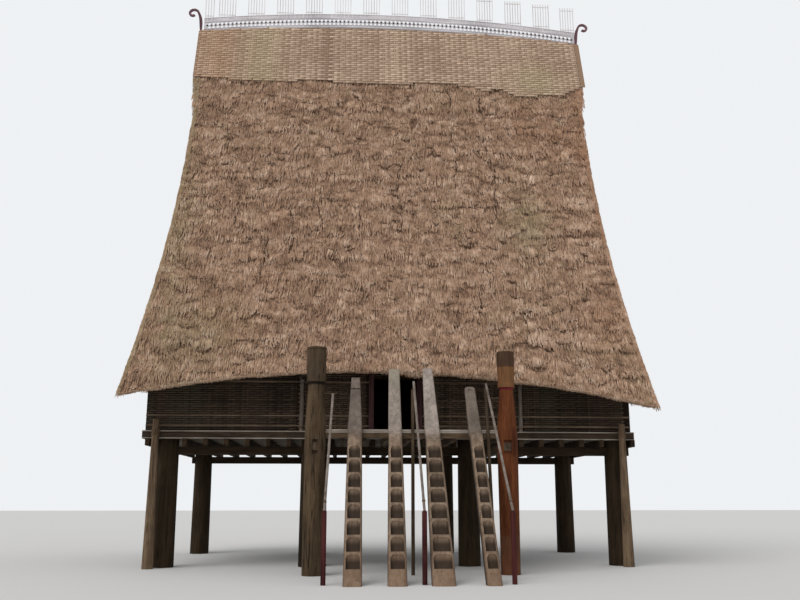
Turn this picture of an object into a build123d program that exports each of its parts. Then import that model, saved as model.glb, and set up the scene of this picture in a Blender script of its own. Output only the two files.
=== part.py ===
from build123d import *
import math
import os

# A tall-roofed communal house on stilts, in millimetres.
# x runs along the ridge, y runs from the front porch to the back, z is up from the ground.

# House body and floor
left_wall_x = -6800          # outer faces of the two end walls
right_wall_x = 6600
wall_half_depth = 3400       # middle of the house to the outer face of the front wall
wall_thickness = 60
floor_top = 3410
floor_thickness = 40
wall_top = 5900
sill_height = 220
sill_thickness = 110
sill_end_thickness = 60
porch_wall_left = -2700      # stretch of the front wall behind the porch
porch_wall_right = 3480

# Columns, girders and joists under the floor
column_xs = [-6220, -2300, 2050, 6220]
column_y = 3050
column_foot_radius = 305
column_head_radius = 265
girder_width = 180
girder_height = 220
girder_half_length = 6600
joist_width = 120
joist_height = 190
joist_end_y = 3640
joist_behind_porch_y = 3500
middle_joist_xs = [-1740 + 560 * step for step in range(7)]
side_joist_xs = [2900 + 560 * step for step in range(6)]
last_joist_xs = [-6680, 6570]

# Roof: the slopes are drawn in a little at mid height, and so are the two narrow ends
ridge_top = 17740
ridge_end_drop = 395         # the ridge is an arc, lower at its ends
ridge_lean = 60              # and lower on the right than on the left
roof_corner = 4300           # height at which the widths of the roof's foot are given
eave_left = 4440             # the eave is an arc too, highest over the porch
eave_middle = 5110
eave_right = 4170
roof_base = 4100
slope_foot_y = 4880          # outer face of a slope at the corner's height
slope_sag = 200
ridge_half_length = 6550
roof_foot_half_length = 7120
roof_foot_shift = 200        # the foot of the roof stands this far to the left of the ridge
roof_end_sag = 430
thatch_thickness = 320
end_thatch_thickness = 220
end_eave_rise = 500
course_count = 12            # courses of thatch between the eave and the mat
course_lap = 45              # how far the foot of a course stands out over the one below
mat_half_length = 6585
mat_thickness = 40
mat_foot = 15420             # lower edge of the woven mat over the ridge

# Roof timbers
rafter_size = 90
seat_gap = 2                 # room left where curved faces lie on each other
clear_x = 8000               # far enough out to cut right through the house, along x and along y
clear_y = 6000
rafter_xs = [-5850 + 1170 * step for step in range(11)]
purlin_radius = 55
purlin_heights = [8300, 10600, 12900, 15000]
ridge_beam_radius = 90
ridge_beam_half_length = 5990
eave_beam_radius = 100
tie_height = 200
tie_width = 160
tie_half_length = 3650
end_plate_radius = 80
end_plate_half_length = 3560
end_pole_ys = [-2400, -1200, 0, 1200, 2400]
end_pole_size = 80

# Crest along the ridge
crest_left = -6440
crest_right = 6500
crest_thickness = 30
crest_lower_strip = 110
crest_openwork = 260
crest_upper_strip = 160
diamond_pitch = 143
diamond_half_width = 61
diamond_half_height = 57
stake_group_xs = [-5670 + 1000 * step for step in range(12)]
outer_stake_groups = [(-6275, 4), (6255, 6)]    # centre and number of stakes
stakes_per_group = 7
stake_pitch = 92
stake_width = 26
stake_thickness = 18
stake_height = 940
scroll_foot_x = 6540
scroll_thickness = 60

# Porch in front of the door
deck_front_y = 5940
deck_left = -2350
deck_right = 2900
deck_top = 3440
deck_thickness = 70
porch_beam_width = 140
porch_beam_height = 130
porch_tenon = 150            # how far the beam runs on past the middle of a great post
porch_joist_width = 100
porch_joist_xs = [-1930, -1460, -900, -340, 220, 780, 1340, 2500]

# Great posts: radius and height up the turned side, and the beam that runs back to the house
great_post_y = 5950
great_post_xs = {"left": -2110, "right": 2650}
great_post_sides = {
    "left": [
        (258, 0), (258, 3500), (195, 4540), (195, 4600), (235, 4606),
        (240, 5410), (232, 5414), (232, 5424), (247, 5430), (247, 5480),
    ],
    "right": [
        (235, 0), (255, 3300), (172, 4440), (172, 4490), (212, 4500), (212, 4600), (204, 4612),
        (222, 5385), (210, 5410),
    ],
}
side_beams = {"left": (-2105, 140), "right": (2612, 190)}    # centre and width
side_beam_z = (2925, 3125)
side_beam_front_y = 6170
mortise_z = (2840, 3190)
mortise_depth_y = 6138

# Rails: slim posts at the porch's edge, low posts on the ground and the poles between them
rail_posts_at = [(290, 290, 4440), (2260, 2130, 4500)]    # foot x, head x, height
rail_post_radius = 45
handrail_heads = [(-1690, 4300), (310, 4620), (2125, 4580)]
handrail_radius = 30
left_rail_end_x = -1600
left_rail_z = 4320
left_rail_radius = 20
right_rail_z = 4235
right_rail_radius = 18
ground_post_xs = [-1795, 360, 2285]
ground_post_y = 8400
ground_post_radius = 55
ground_post_height = 1520

# Posts on the sill and poles at the corners of the house
entrance_post_xs = [-2585, 3487]
entrance_post_radius = 54
entrance_post_height = 1290
finial_radius = 68
corner_poles = [(-6470, 3880), (6270, 3800)]              # place and height
corner_pole_gap = 150
corner_pole_foot_radius = 150
corner_pole_head_radius = 85

# Doorway
door_half_width = 600
door_frame_width = 140
door_frame_depth = 140
door_head = 5360

# Notched log ladders, with the rounding of the top's corners and what is cut into the head
ladders = [
    {"foot_x": -1178, "head_x": -1122, "foot_width": 410, "deck_width": 350, "top_width": 225,
     "top_z": 4800, "corner": 15, "mark": "groove"},
    {"foot_x": -231, "head_x": -114, "foot_width": 420, "deck_width": 330, "top_width": 285,
     "top_z": 5060, "corner": 30},
    {"foot_x": 745, "head_x": 770, "foot_width": 515, "deck_width": 366, "top_width": 257,
     "top_z": 5085, "corner": 30},
    {"foot_x": 1810, "head_x": 1830, "foot_width": 330, "deck_width": 315, "top_width": 265,
     "top_z": 4560, "corner": 75, "mark": "recess"},
]
ladder_slope = 54.5
ladder_foot_depth = 330
ladder_deck_depth = 270
ladder_plank_depth = 150
ladder_head_depth = 95
ladder_rounding = 0.3        # of the log's corners, as a part of its smaller side
ladder_neck = 350            # the log thins to a plank over this stretch below the deck
groove_below_top = 400
recess_below_top = 130
recess_radius = 60
tread_rise = 343
first_tread = 327
tread_count = 8
tread_cheek = 50
tread_web = 45
tread_depth = 185
pocket_corner = 105
pocket_scoop = 28            # how far the back of a pocket bulges inwards


def outer_slope_y(z):
    """Distance from the ridge line to the outer face of a slope at a height."""
    run = (ridge_top - z) / (ridge_top - roof_corner)
    return slope_foot_y * run - 4 * slope_sag * run * (1 - run)


def outer_end_x(z, side, inset=0):
    """Place of the face of a roof end at a height, side -1 on the left and 1 on the right."""
    run = (ridge_top - z) / (ridge_top - roof_corner)
    width = ridge_half_length + (roof_foot_half_length - ridge_half_length) * run
    return side * (width - 4 * roof_end_sag * run * (1 - run) - inset) - roof_foot_shift * run


def height_where_slope_is(y):
    """Height at which the outer face of a slope stands this far from the ridge line."""
    low, high = roof_base - 500, ridge_top + 500
    for _ in range(40):
        middle = (low + high) / 2
        if outer_slope_y(middle) > y:
            low = middle
        else:
            high = middle
    return low


def ridge_z(x):
    """Height of the arched ridge."""
    part = x / ridge_half_length
    return ridge_top - ridge_end_drop * part ** 2 - ridge_lean * part


def ridge_curve(x_from, x_to, lift=0, count=9):
    """The arched ridge between two places, raised by a lift."""
    xs = [x_from + (x_to - x_from) * step / (count - 1) for step in range(count)]
    return Spline(*[(x, 0, ridge_z(x) + lift) for x in xs])


# Shift along y that matches a thickness measured square to a slope
slope_angle = math.atan2(ridge_top - roof_corner, slope_foot_y)


def sideways(thickness):
    return thickness / math.sin(slope_angle)


def slope_points(inset, bottom, top, count=7):
    """Points up one slope, set in from its outer face."""
    heights = [bottom + (top - bottom) * step / (count - 1) for step in range(count)]
    return [(sideways(inset) - outer_slope_y(z), z) for z in heights]


def slope_band(near, far, bottom, top):
    """Section of the front slope between two depths below its outer face, in the YZ plane."""
    apex_near = min(top, height_where_slope_is(sideways(near)))
    apex_far = min(top, height_where_slope_is(sideways(far)))
    outer = Spline(*[(0, y, z) for y, z in slope_points(near, bottom, apex_near)])
    inner = Spline(*[(0, y, z) for y, z in slope_points(far, bottom, apex_far)])
    foot = Line(outer @ 0, inner @ 0)
    head = Line(outer @ 1, inner @ 1)
    return make_face([outer, head, inner, foot])


def across(face, x_from, x_to):
    """A YZ section drawn out along x."""
    return extrude(Pos(x_from, 0, 0) * face, amount=x_to - x_from, dir=(1, 0, 0))


def attic_space(inset, bottom):
    """The space under both slopes, set in from their outer faces."""
    apex = height_where_slope_is(sideways(inset))
    front = Spline(*[(0, y, z) for y, z in slope_points(inset, bottom, apex)])
    back = Spline(*[(0, -y, z) for y, z in slope_points(inset, bottom, apex)])
    return across(make_face([front, back, Line(front @ 0, back @ 0)]), -clear_x, clear_x)


def roof_side(side, low):
    """Outer edge of the roof on one side, from the eave's corner up to the end of the ridge."""
    high = ridge_z(side * ridge_half_length)
    heights = [low + (high - low) * step / 6 for step in range(7)]
    return Spline(*[(outer_end_x(z, side), 0, z) for z in heights])


def front_outline():
    """The roof as seen from the front: arched ridge, drawn-in ends and arched eave."""
    left = roof_side(-1, eave_left)
    right = roof_side(1, eave_right)
    middle_xs = [-4000, -2000, 0, 2000, 4000]
    middle = [(x, 0, ridge_z(x)) for x in middle_xs]
    ridge = Spline(left @ 1, *middle, right @ 1)
    eave = ThreePointArc(left @ 0, (0, 0, eave_middle), right @ 0)
    outline = make_face([right, ridge, left, eave])
    return extrude(Pos(0, clear_y, 0) * outline, amount=2 * clear_y, dir=(0, -1, 0))


def course_points(point_at):
    """Corners of the courses of thatch up to the mat: each foot stands out over the course below.

    point_at gives the point of the roof's face at a height, set in by a depth.
    """
    points = []
    rise = (mat_foot - roof_base) / course_count
    for step in range(course_count):
        low = roof_base + rise * step
        points += [point_at(low, 0), point_at(low + rise, course_lap)]
    return points


def log(start, end, radius, end_radius=None):
    """A round log between two points."""
    line = Vector(*end) - Vector(*start)
    plane = Plane(origin=start, z_dir=line)
    head = end_radius or radius
    if head == radius:
        pole = Cylinder(radius, line.length, align=(Align.CENTER, Align.CENTER, Align.MIN))
    else:
        pole = Cone(radius, head, line.length, align=(Align.CENTER, Align.CENTER, Align.MIN))
    return plane * pole


def block(x_range, y_range, z_range):
    """A squared timber or panel between three pairs of limits."""
    size = [high - low for low, high in (x_range, y_range, z_range)]
    return Pos(x_range[0], y_range[0], z_range[0]) * Box(*size, align=(Align.MIN,) * 3)


def girder(side):
    """Floor girder that runs through the mortises of one row of columns."""
    top = floor_top - floor_thickness - joist_height
    y = side * column_y
    half = girder_width / 2
    xs = (-girder_half_length, girder_half_length)
    return block(xs, (y - half, y + half), (top - girder_height, top))


def column_row(side):
    """Four thick round columns from the ground to the tie beams, mortised for the girder."""
    row = [
        log((x, side * column_y, 0), (x, side * column_y, wall_top), column_foot_radius, column_head_radius)
        for x in column_xs
    ]
    return [column - girder(side) for column in row]


def floor_joists():
    """Joists from front to back; their ends show under the sill."""
    top = floor_top - floor_thickness
    xs = middle_joist_xs + side_joist_xs + [-x for x in side_joist_xs] + last_joist_xs
    half = joist_width / 2
    joists = []
    for x in sorted(xs):
        behind_porch = deck_left - half < x < deck_right + half
        front_y = joist_behind_porch_y if behind_porch else joist_end_y
        joists.append(block((x - half, x + half), (-front_y, joist_end_y), (top - joist_height, top)))
    return joists


def floor_deck():
    """Floor of the room, cut round the columns."""
    deck = block(
        (left_wall_x, right_wall_x),
        (-wall_half_depth, wall_half_depth),
        (floor_top - floor_thickness, floor_top),
    )
    for x in column_xs:
        for side in (-1, 1):
            y = side * column_y
            deck -= log((x, y, floor_top - 200), (x, y, floor_top + 200), column_foot_radius)
    return deck


def sill_planks():
    """Planks on edge round the foot of the walls, the front one open at the doorway."""
    low = floor_top - floor_thickness
    z = (low, low + sill_height)
    near = (-wall_half_depth - sill_thickness, -wall_half_depth)
    far = (wall_half_depth, wall_half_depth + sill_thickness)
    between = (-wall_half_depth, wall_half_depth)
    left, right = left_wall_x - sill_end_thickness, right_wall_x + sill_end_thickness
    gap = door_half_width + door_frame_width
    return [
        block((left, -gap), near, z),
        block((gap, right), near, z),
        block((left, right), far, z),
        block((left, left_wall_x), between, z),
        block((right_wall_x, right), between, z),
    ]


def front_panel(x_from, x_to, bottom=floor_top, top=wall_top):
    """Plain stretch of the front wall."""
    return block((x_from, x_to), (-wall_half_depth, -wall_half_depth + wall_thickness), (bottom, top))


def end_wall(side):
    """Plain wall at one end of the house, between the front and back walls."""
    face = left_wall_x if side < 0 else right_wall_x
    xs = sorted((face, face - side * wall_thickness))
    inner = wall_half_depth - wall_thickness
    return block(xs, (-inner, inner), (floor_top, wall_top))


def door_frame():
    """Two door posts under a head beam."""
    outer = door_half_width + door_frame_width
    half = door_frame_depth / 2
    y = (-wall_half_depth - half, -wall_half_depth + half)
    frame = block((-outer, outer), y, (floor_top, door_head + door_frame_width))
    clear = (-wall_half_depth - 2 * half, -wall_half_depth + 2 * half)
    return frame - block((-door_half_width, door_half_width), clear, (floor_top - 100, door_head))


def wall_over_door():
    """Short stretch of wall above the head beam."""
    outer = door_half_width + door_frame_width
    return front_panel(-outer, outer, door_head + door_frame_width)


def tie_beams():
    """Beams across the house on the column heads; the eave beams lie on their ends."""
    half = tie_width / 2
    return [
        block((x - half, x + half), (-tie_half_length, tie_half_length), (wall_top, wall_top + tie_height))
        for x in column_xs
    ]


def under_rafters(z, radius):
    """Distance from the ridge line at which a round pole touches the rafters from below."""
    run = (ridge_top - z) / (ridge_top - roof_corner)
    lean = (slope_foot_y - 4 * slope_sag * (1 - 2 * run)) / (ridge_top - roof_corner)
    rafters = sideways(thatch_thickness + seat_gap + rafter_size)
    return outer_slope_y(z) - rafters - radius * math.hypot(1, lean) - seat_gap


def eave_beams():
    """Logs along the front and the back that carry the feet of the rafters."""
    z = wall_top + tie_height + eave_beam_radius
    y = under_rafters(z, eave_beam_radius)
    left, right = [outer_end_x(z, side, end_thatch_thickness + 40) for side in (-1, 1)]
    return [log((left, side * y, z), (right, side * y, z), eave_beam_radius) for side in (-1, 1)]


def end_plates():
    """Logs across the two ends, on top of the eave beams."""
    z = wall_top + tie_height + 2 * eave_beam_radius + end_plate_radius
    inset = end_thatch_thickness + end_pole_size + end_plate_radius + 3 * seat_gap
    xs = [outer_end_x(z, side, inset) for side in (-1, 1)]
    return [log((x, -end_plate_half_length, z), (x, end_plate_half_length, z), end_plate_radius) for x in xs]


def purlins():
    """Round poles along the slopes, under the rafters."""
    poles = []
    for z in purlin_heights:
        left, right = [outer_end_x(z, side, end_thatch_thickness + end_pole_size + 20) for side in (-1, 1)]
        y = under_rafters(z, purlin_radius)
        poles += [log((left, side * y, z), (right, side * y, z), purlin_radius) for side in (-1, 1)]
    return poles


def ridge_beam():
    """Log under the heads of the rafters."""
    under = sideways(thatch_thickness + rafter_size + ridge_beam_radius)
    z = height_where_slope_is(under + 3 * seat_gap)
    return log((-ridge_beam_half_length, 0, z), (ridge_beam_half_length, 0, z), ridge_beam_radius)


def front_rafters():
    """Curved poles up the front slope, right under the thatch."""
    outer = thatch_thickness + seat_gap
    half = rafter_size / 2
    band = slope_band(outer, outer + rafter_size, eave_middle + 190, ridge_top)
    return [across(band, x - half, x + half) for x in rafter_xs]


def thatch_slope():
    """Thick thatch of the front slope, laid in courses below the mat."""
    courses = course_points(lambda z, inset: (0, sideways(inset) - outer_slope_y(z), z))
    under_mat = [(0, y, z) for y, z in slope_points(0, mat_foot, ridge_top, 4)]
    outer = Polyline(*courses, *under_mat)
    apex = height_where_slope_is(sideways(thatch_thickness))
    inner = Spline(*[(0, y, z) for y, z in slope_points(thatch_thickness, roof_base, apex)])
    section = make_face([outer, Line(outer @ 1, inner @ 1), inner, Line(outer @ 0, inner @ 0)])
    return across(section, -clear_x, clear_x) & front_outline()


def thatch_end(side):
    """Thatch of one roof end, a tall triangle between the two slopes, clear of the wall it hangs over."""
    top = ridge_z(side * ridge_half_length)
    courses = course_points(lambda z, inset: (outer_end_x(z, side, inset), 0, z))
    upper = [mat_foot + (top - mat_foot) * step / 3 for step in range(4)]
    outer = Polyline(*courses, *[(outer_end_x(z, side), 0, z) for z in upper])
    heights = [roof_base + (top - roof_base) * step / 6 for step in range(7)]
    inner = Spline(*[(outer_end_x(z, side, end_thatch_thickness), 0, z) for z in heights])
    section = make_face([outer, Line(outer @ 1, inner @ 1), inner, Line(outer @ 0, inner @ 0)])
    slab = extrude(Pos(0, clear_y, 0) * section, amount=2 * clear_y, dir=(0, -1, 0))
    corner = eave_left if side < 0 else eave_right
    reach = outer_slope_y(corner) - sideways(thatch_thickness)
    arch = ThreePointArc((0, -reach, corner), (0, 0, corner + end_eave_rise), (0, reach, corner))
    far = reach + 1000
    low = roof_base - 1000
    base = Polyline(
        (0, reach, corner), (0, far, corner), (0, far, low),
        (0, -far, low), (0, -far, corner), (0, -reach, corner),
    )
    below = across(make_face([arch, base]), -clear_x, clear_x)
    body_xs = (left_wall_x - seat_gap, right_wall_x + seat_gap)
    half_depth = wall_half_depth + seat_gap
    body = block(body_xs, (-half_depth, half_depth), (floor_top, wall_top + seat_gap))
    return (slab & attic_space(thatch_thickness + seat_gap, roof_base)) - below - body


def end_poles(side):
    """Poles up one roof end, right under its thatch."""
    low, high = wall_top + 50, ridge_top - 1500
    near = end_thatch_thickness + seat_gap
    heights = [low + (high - low) * step / 6 for step in range(7)]
    outer = Spline(*[(outer_end_x(z, side, near), 0, z) for z in heights])
    inner = Spline(*[(outer_end_x(z, side, near + end_pole_size), 0, z) for z in heights])
    section = make_face([outer, Line(outer @ 1, inner @ 1), inner, Line(outer @ 0, inner @ 0)])
    under = attic_space(thatch_thickness + 10, roof_base)
    poles = []
    for y in end_pole_ys:
        pole = extrude(Pos(0, y - end_pole_size / 2, 0) * section, amount=end_pole_size, dir=(0, 1, 0))
        poles.append(pole & under)
    return poles


def under_ridge(half_length, lift):
    """Everything below the arched ridge line, raised by a lift."""
    arch = ridge_curve(-half_length, half_length, lift)
    foot = mat_foot - 500
    sides = Polyline(arch @ 1, (half_length, 0, foot), (-half_length, 0, foot), arch @ 0)
    return extrude(Pos(0, clear_y, 0) * make_face([arch, sides]), amount=2 * clear_y, dir=(0, -1, 0))


def ridge_mat():
    """Woven mat folded over the ridge and down both slopes."""
    outside = attic_space(-mat_thickness - seat_gap, mat_foot)
    inside = attic_space(-seat_gap, mat_foot - 100) & under_ridge(mat_half_length + 300, seat_gap)
    return (outside & under_ridge(mat_half_length, seat_gap + mat_thickness)) - inside


def crest_outline(lift, height):
    """Strip that follows the arched ridge, in the XZ plane."""
    lower = ridge_curve(crest_left, crest_right, mat_thickness + lift)
    upper = ridge_curve(crest_left, crest_right, mat_thickness + lift + height)
    return make_face([lower, Line(lower @ 1, upper @ 1), upper, Line(lower @ 0, upper @ 0)])


def plate(face, thickness):
    """An XZ outline made into a plate about the ridge line."""
    return extrude(Pos(0, thickness / 2, 0) * face, amount=thickness, dir=(0, -1, 0))


def crest_band():
    """Band along the ridge with two rows of diamond openings."""
    height = crest_lower_strip + crest_openwork + crest_upper_strip
    band = plate(crest_outline(2 * seat_gap, height), crest_thickness)
    count = int((crest_right - crest_left - 100) / diamond_pitch)
    first = (crest_left + crest_right - (count - 1) * diamond_pitch) / 2
    diamonds = []
    for row in range(2):
        lift = mat_thickness + crest_lower_strip + crest_openwork * (0.25 + 0.5 * row)
        for step in range(count):
            x = first + step * diamond_pitch
            z = ridge_z(x) + lift
            corners = [
                (x - diamond_half_width, 0, z),
                (x, 0, z + diamond_half_height),
                (x + diamond_half_width, 0, z),
                (x, 0, z - diamond_half_height),
            ]
            diamonds.append(plate(make_face(Polyline(*corners, close=True)), 2 * crest_thickness))
    return band.cut(*diamonds)


def stake_group(middle, count):
    """Thin upright stakes tied by two cross strips, on top of the crest band."""
    rise = mat_thickness + crest_lower_strip + crest_openwork + crest_upper_strip
    half = (count - 1) / 2 * stake_pitch
    base = ridge_z(middle) + rise
    depth = (-stake_thickness / 2, stake_thickness / 2)
    ends = (middle - half - stake_width / 2, middle + half + stake_width / 2)
    group = block(ends, depth, (base + 70, base + 70 + stake_width))
    high_strip = base + stake_height - 120
    group += block(ends, depth, (high_strip, high_strip + stake_width))
    for step in range(count):
        x = middle - half + step * stake_pitch
        xs = (x - stake_width / 2, x + stake_width / 2)
        low = max(ridge_z(edge) for edge in (*xs, x)) + rise + 3 * seat_gap
        group += block(xs, depth, (low, base + stake_height))
    return group


def crest_stakes():
    """All the groups of stakes, the two outermost with fewer stakes."""
    groups = [(x, stakes_per_group) for x in stake_group_xs] + outer_stake_groups
    return [stake_group(x, count) for x, count in groups]


def scroll(side):
    """Curled finial at one end of the crest: a leaf-shaped stem that rolls outwards."""
    foot = ridge_z(side * (scroll_foot_x - 40)) + mat_thickness + seat_gap
    outer = Spline((-18, 0, 0), (-32, 0, 250), (-22, 0, 480), (70, 0, 740))
    inner = Spline((18, 0, 0), (58, 0, 250), (78, 0, 480), (135, 0, 700))
    stem = make_face([outer, Line(outer @ 1, inner @ 1), inner, Line(inner @ 0, outer @ 0)])
    over = ThreePointArc((102, 0, 715), (265, 0, 850), (410, 0, 740))
    under = ThreePointArc((410, 0, 740), (355, 0, 632), (245, 0, 655))
    curl = trace(Plane.XZ.to_local_coords(Curve() + [over, under]), line_width=72)
    solid = extrude(Plane.XZ * curl, amount=scroll_thickness / 2, both=True)
    solid += extrude(Pos(0, scroll_thickness / 2, 0) * stem, amount=scroll_thickness, dir=(0, -1, 0))
    placed = Pos(scroll_foot_x, 0, foot) * solid
    return placed if side > 0 else mirror(placed, about=Plane.YZ)


def porch_beam():
    """Front beam of the porch, tenoned through the two great posts."""
    top = deck_top - deck_thickness
    y = (-deck_front_y, -deck_front_y + porch_beam_width)
    xs = (great_post_xs["left"] - porch_tenon, great_post_xs["right"] + porch_tenon)
    return block(xs, y, (top - porch_beam_height, top))


def side_beam(side_name):
    """Beam from a great post back to the front girder, shouldered against the column it meets."""
    x, width = side_beams[side_name]
    y = (-side_beam_front_y, -column_y - girder_width / 2)
    beam = block((x - width / 2, x + width / 2), y, side_beam_z)
    for column in column_row(-1):
        beam -= column
    return beam


def great_post(side_name):
    """Great post turned by eye: foot, neck and cap, with mortises for both beams."""
    sides = [(0, 0)] + great_post_sides[side_name] + [(0, great_post_sides[side_name][-1][1])]
    turned = revolve(make_face(Polyline(*[(radius, 0, z) for radius, z in sides], close=True)), axis=Axis.Z)
    post = Pos(great_post_xs[side_name], -great_post_y, 0) * turned
    x, width = side_beams[side_name]
    mouth = block((x - width / 2, x + width / 2), (-great_post_y - 400, -mortise_depth_y), mortise_z)
    return post - mouth - side_beam(side_name) - porch_beam()


def porch_joists():
    """Joists from the front beam back over the floor girder, between the floor's own joists."""
    top = deck_top - deck_thickness
    half = porch_joist_width / 2
    girder_top = floor_top - floor_thickness - joist_height
    y = (-deck_front_y + porch_beam_width, -column_y + girder_width / 2)
    joists = [block((x - half, x + half), y, (girder_top, top)) for x in porch_joist_xs]
    return [joist - great_post("left") - great_post("right") for joist in joists]


def porch_deck():
    """Boards of the porch, cut round the great posts."""
    y = (-deck_front_y, -wall_half_depth - sill_thickness)
    deck = block((deck_left, deck_right), y, (deck_top - deck_thickness, deck_top))
    return deck - great_post("left") - great_post("right")


def rail_posts():
    """Slim posts from the ground up past the front edge of the porch."""
    y = -deck_front_y - rail_post_radius
    return [
        log((foot_x, y, 0), (head_x, y, top), rail_post_radius, rail_post_radius - 6)
        for foot_x, head_x, top in rail_posts_at
    ]


def handrails():
    """Sloping poles beside the ladders, from the slim posts down to the low posts."""
    y = -deck_front_y - 2 * rail_post_radius - handrail_radius - 2 * seat_gap
    rails = []
    for (head_x, head_z), foot_x in zip(handrail_heads, ground_post_xs):
        foot = (foot_x, -ground_post_y, ground_post_height)
        rails.append(log(foot, (head_x, y, head_z), handrail_radius))
    return rails


def ground_posts():
    """Low posts notched at the top for the feet of the handrails."""
    posts = []
    for x, rail in zip(ground_post_xs, handrails()):
        foot, head = (x, -ground_post_y, 0), (x, -ground_post_y, ground_post_height)
        posts.append(log(foot, head, ground_post_radius) - rail)
    return posts


def porch_rails():
    """Thin rails let into the great posts: one carries a handrail, one meets a slim post."""
    y = -deck_front_y - rail_post_radius
    left = log((great_post_xs["left"], y, left_rail_z), (left_rail_end_x, y, left_rail_z), left_rail_radius)
    foot_x, head_x, top = rail_posts_at[1]
    right_x = foot_x + (head_x - foot_x) * right_rail_z / top
    right = log((right_x, y, right_rail_z), (great_post_xs["right"], y, right_rail_z), right_rail_radius)
    return [left - great_post("left"), right - great_post("right") - rail_posts()[1]]


def entrance_post(x):
    """Pale post on the sill with a ball on its head."""
    radius, height = entrance_post_radius, entrance_post_height
    neck = (radius - 16, 0, height + 35)
    shaft = Polyline((0, 0, 0), (radius, 0, 0), (radius, 0, height), (radius - 16, 0, height + 10), neck)
    middle = height + 35 + math.sqrt(finial_radius ** 2 - neck[0] ** 2)
    ball = ThreePointArc(neck, (finial_radius, 0, middle), (0, 0, middle + finial_radius))
    axis = Line((0, 0, middle + finial_radius), (0, 0, 0))
    turned = revolve(make_face([shaft, ball, axis]), axis=Axis.Z)
    sill_top = floor_top - floor_thickness + sill_height
    return Pos(x, -wall_half_depth - finial_radius - seat_gap, sill_top) * turned


def corner_posts():
    """Tapering pole in front of each corner of the house, from the ground up past the sill."""
    poles = []
    for x, top in corner_poles:
        for side in (-1, 1):
            y = side * (wall_half_depth + sill_thickness + corner_pole_gap)
            poles.append(log((x, y, 0), (x, y, top), corner_pole_foot_radius, corner_pole_head_radius))
    return poles


slope_radians = math.radians(ladder_slope)
slope_rise = math.tan(slope_radians)


def ladder_section(x, station, width, depth):
    """Rounded section of the log, its flat back on the leaning plane."""
    return Pos(x, -depth / 2, station) * RectangleRounded(width, depth, min(width, depth) * ladder_rounding)


def corner_arc(x, top, side, radius, flatness=0.293):
    """Arc that rounds an upper corner, side -1 for a left corner and 1 for a right one.

    A flatness of 0.293 gives a quarter circle, and 0.5 would give a straight chamfer.
    """
    away = radius * flatness
    return ThreePointArc((x, 0, top - radius), (x - side * away, 0, top - away), (x - side * radius, 0, top))


def corner_chip(x, top, side, radius):
    """What the rounding of an upper corner takes off a plank."""
    arc = corner_arc(x, top, side, radius, flatness=0.34)
    clear = 50
    outside = Polyline(
        arc @ 1, (x - side * radius, 0, top + clear), (x + side * clear, 0, top + clear),
        (x + side * clear, 0, top - radius), arc @ 0,
    )
    return extrude(Pos(0, 100, 0) * make_face([arc, outside]), amount=400, dir=(0, -1, 0))


def ladder_body(foot_x, head_x, foot_width, deck_width, top_width, top_z, corner, mark=None):
    """The hewn log before its steps are cut: thick below, a plank above the porch."""
    up = (0, math.cos(slope_radians), math.sin(slope_radians))
    foot_y = -deck_front_y - deck_top / slope_rise
    plane = Plane(origin=(0, foot_y, 0), x_dir=(1, 0, 0), z_dir=up)
    deck_s = deck_top / math.sin(slope_radians)
    top_s = top_z / math.sin(slope_radians)
    neck_s = deck_s - ladder_neck

    def section(station, *sizes):
        return ladder_section(foot_x + (head_x - foot_x) * station / top_s, station, *sizes)

    middle_width = (foot_width + deck_width) / 2
    middle_depth = (ladder_foot_depth + ladder_deck_depth) / 2
    lower = loft([
        plane * section(-300, foot_width, ladder_foot_depth),
        plane * section(deck_s / 2, middle_width, middle_depth),
        plane * section(neck_s, deck_width, ladder_deck_depth),
    ], ruled=True)
    upper = loft([
        plane * section(neck_s, deck_width, ladder_deck_depth),
        plane * section(deck_s, deck_width, ladder_plank_depth),
        plane * section(top_s, top_width, ladder_head_depth),
    ], ruled=True)
    for side in (-1, 1):
        upper -= plane * corner_chip(head_x + side * top_width / 2, top_s, side, corner)
    if mark == "groove":
        upper -= plane * Pos(head_x, -ladder_head_depth, top_s - groove_below_top) * Box(500, 60, 36)
    if mark == "recess":
        scoop = Pos(head_x, -ladder_head_depth - 30, top_s - recess_below_top) * Sphere(recess_radius)
        upper -= plane * scoop
    below_ground = block((foot_x - 1000, foot_x + 1000), (-2 * clear_y, 0), (-1000, 0))
    return lower + upper - below_ground


def step_pocket(x, z, width, depth):
    """Space over one tread: an arched front and a scooped back."""
    front_y = -deck_front_y - (deck_top - z) / slope_rise - depth / math.sin(slope_radians)
    height = tread_rise - tread_web
    top = z + height
    left = corner_arc(x - width / 2, top, -1, pocket_corner)
    right = corner_arc(x + width / 2, top, 1, pocket_corner)
    foot = Polyline(left @ 0, (x - width / 2, 0, z), (x + width / 2, 0, z), right @ 0)
    opening = make_face([foot, right, Line(right @ 1, left @ 1), left])
    front = extrude(Pos(0, front_y - 200, 0) * opening, amount=700, dir=(0, 1, 0))
    back = (0, front_y + tread_depth, z)
    head = (0, front_y + height / slope_rise + 4, top)
    scoop = ThreePointArc(back, (0, (back[1] + head[1]) / 2 + pocket_scoop, z + height / 2), head)
    rest = Polyline(head, (0, front_y - 100, top), (0, front_y - 100, z), back)
    return front & across(make_face([scoop, rest]), x - width, x + width)


def ladder(sizes):
    """Log ladder with a row of step pockets between two cheeks."""
    foot_x, foot_width = sizes["foot_x"], sizes["foot_width"]
    pockets = []
    for step in range(tread_count):
        z = first_tread + step * tread_rise
        part_up = z / deck_top
        x = foot_x + (sizes["head_x"] - foot_x) * (z + tread_rise / 2) / sizes["top_z"]
        width = foot_width + (sizes["deck_width"] - foot_width) * part_up - 2 * tread_cheek
        depth = ladder_foot_depth + (ladder_deck_depth - ladder_foot_depth) * part_up
        pockets.append(step_pocket(x, z, width, depth))
    return ladder_body(**sizes).cut(*pockets)


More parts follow.
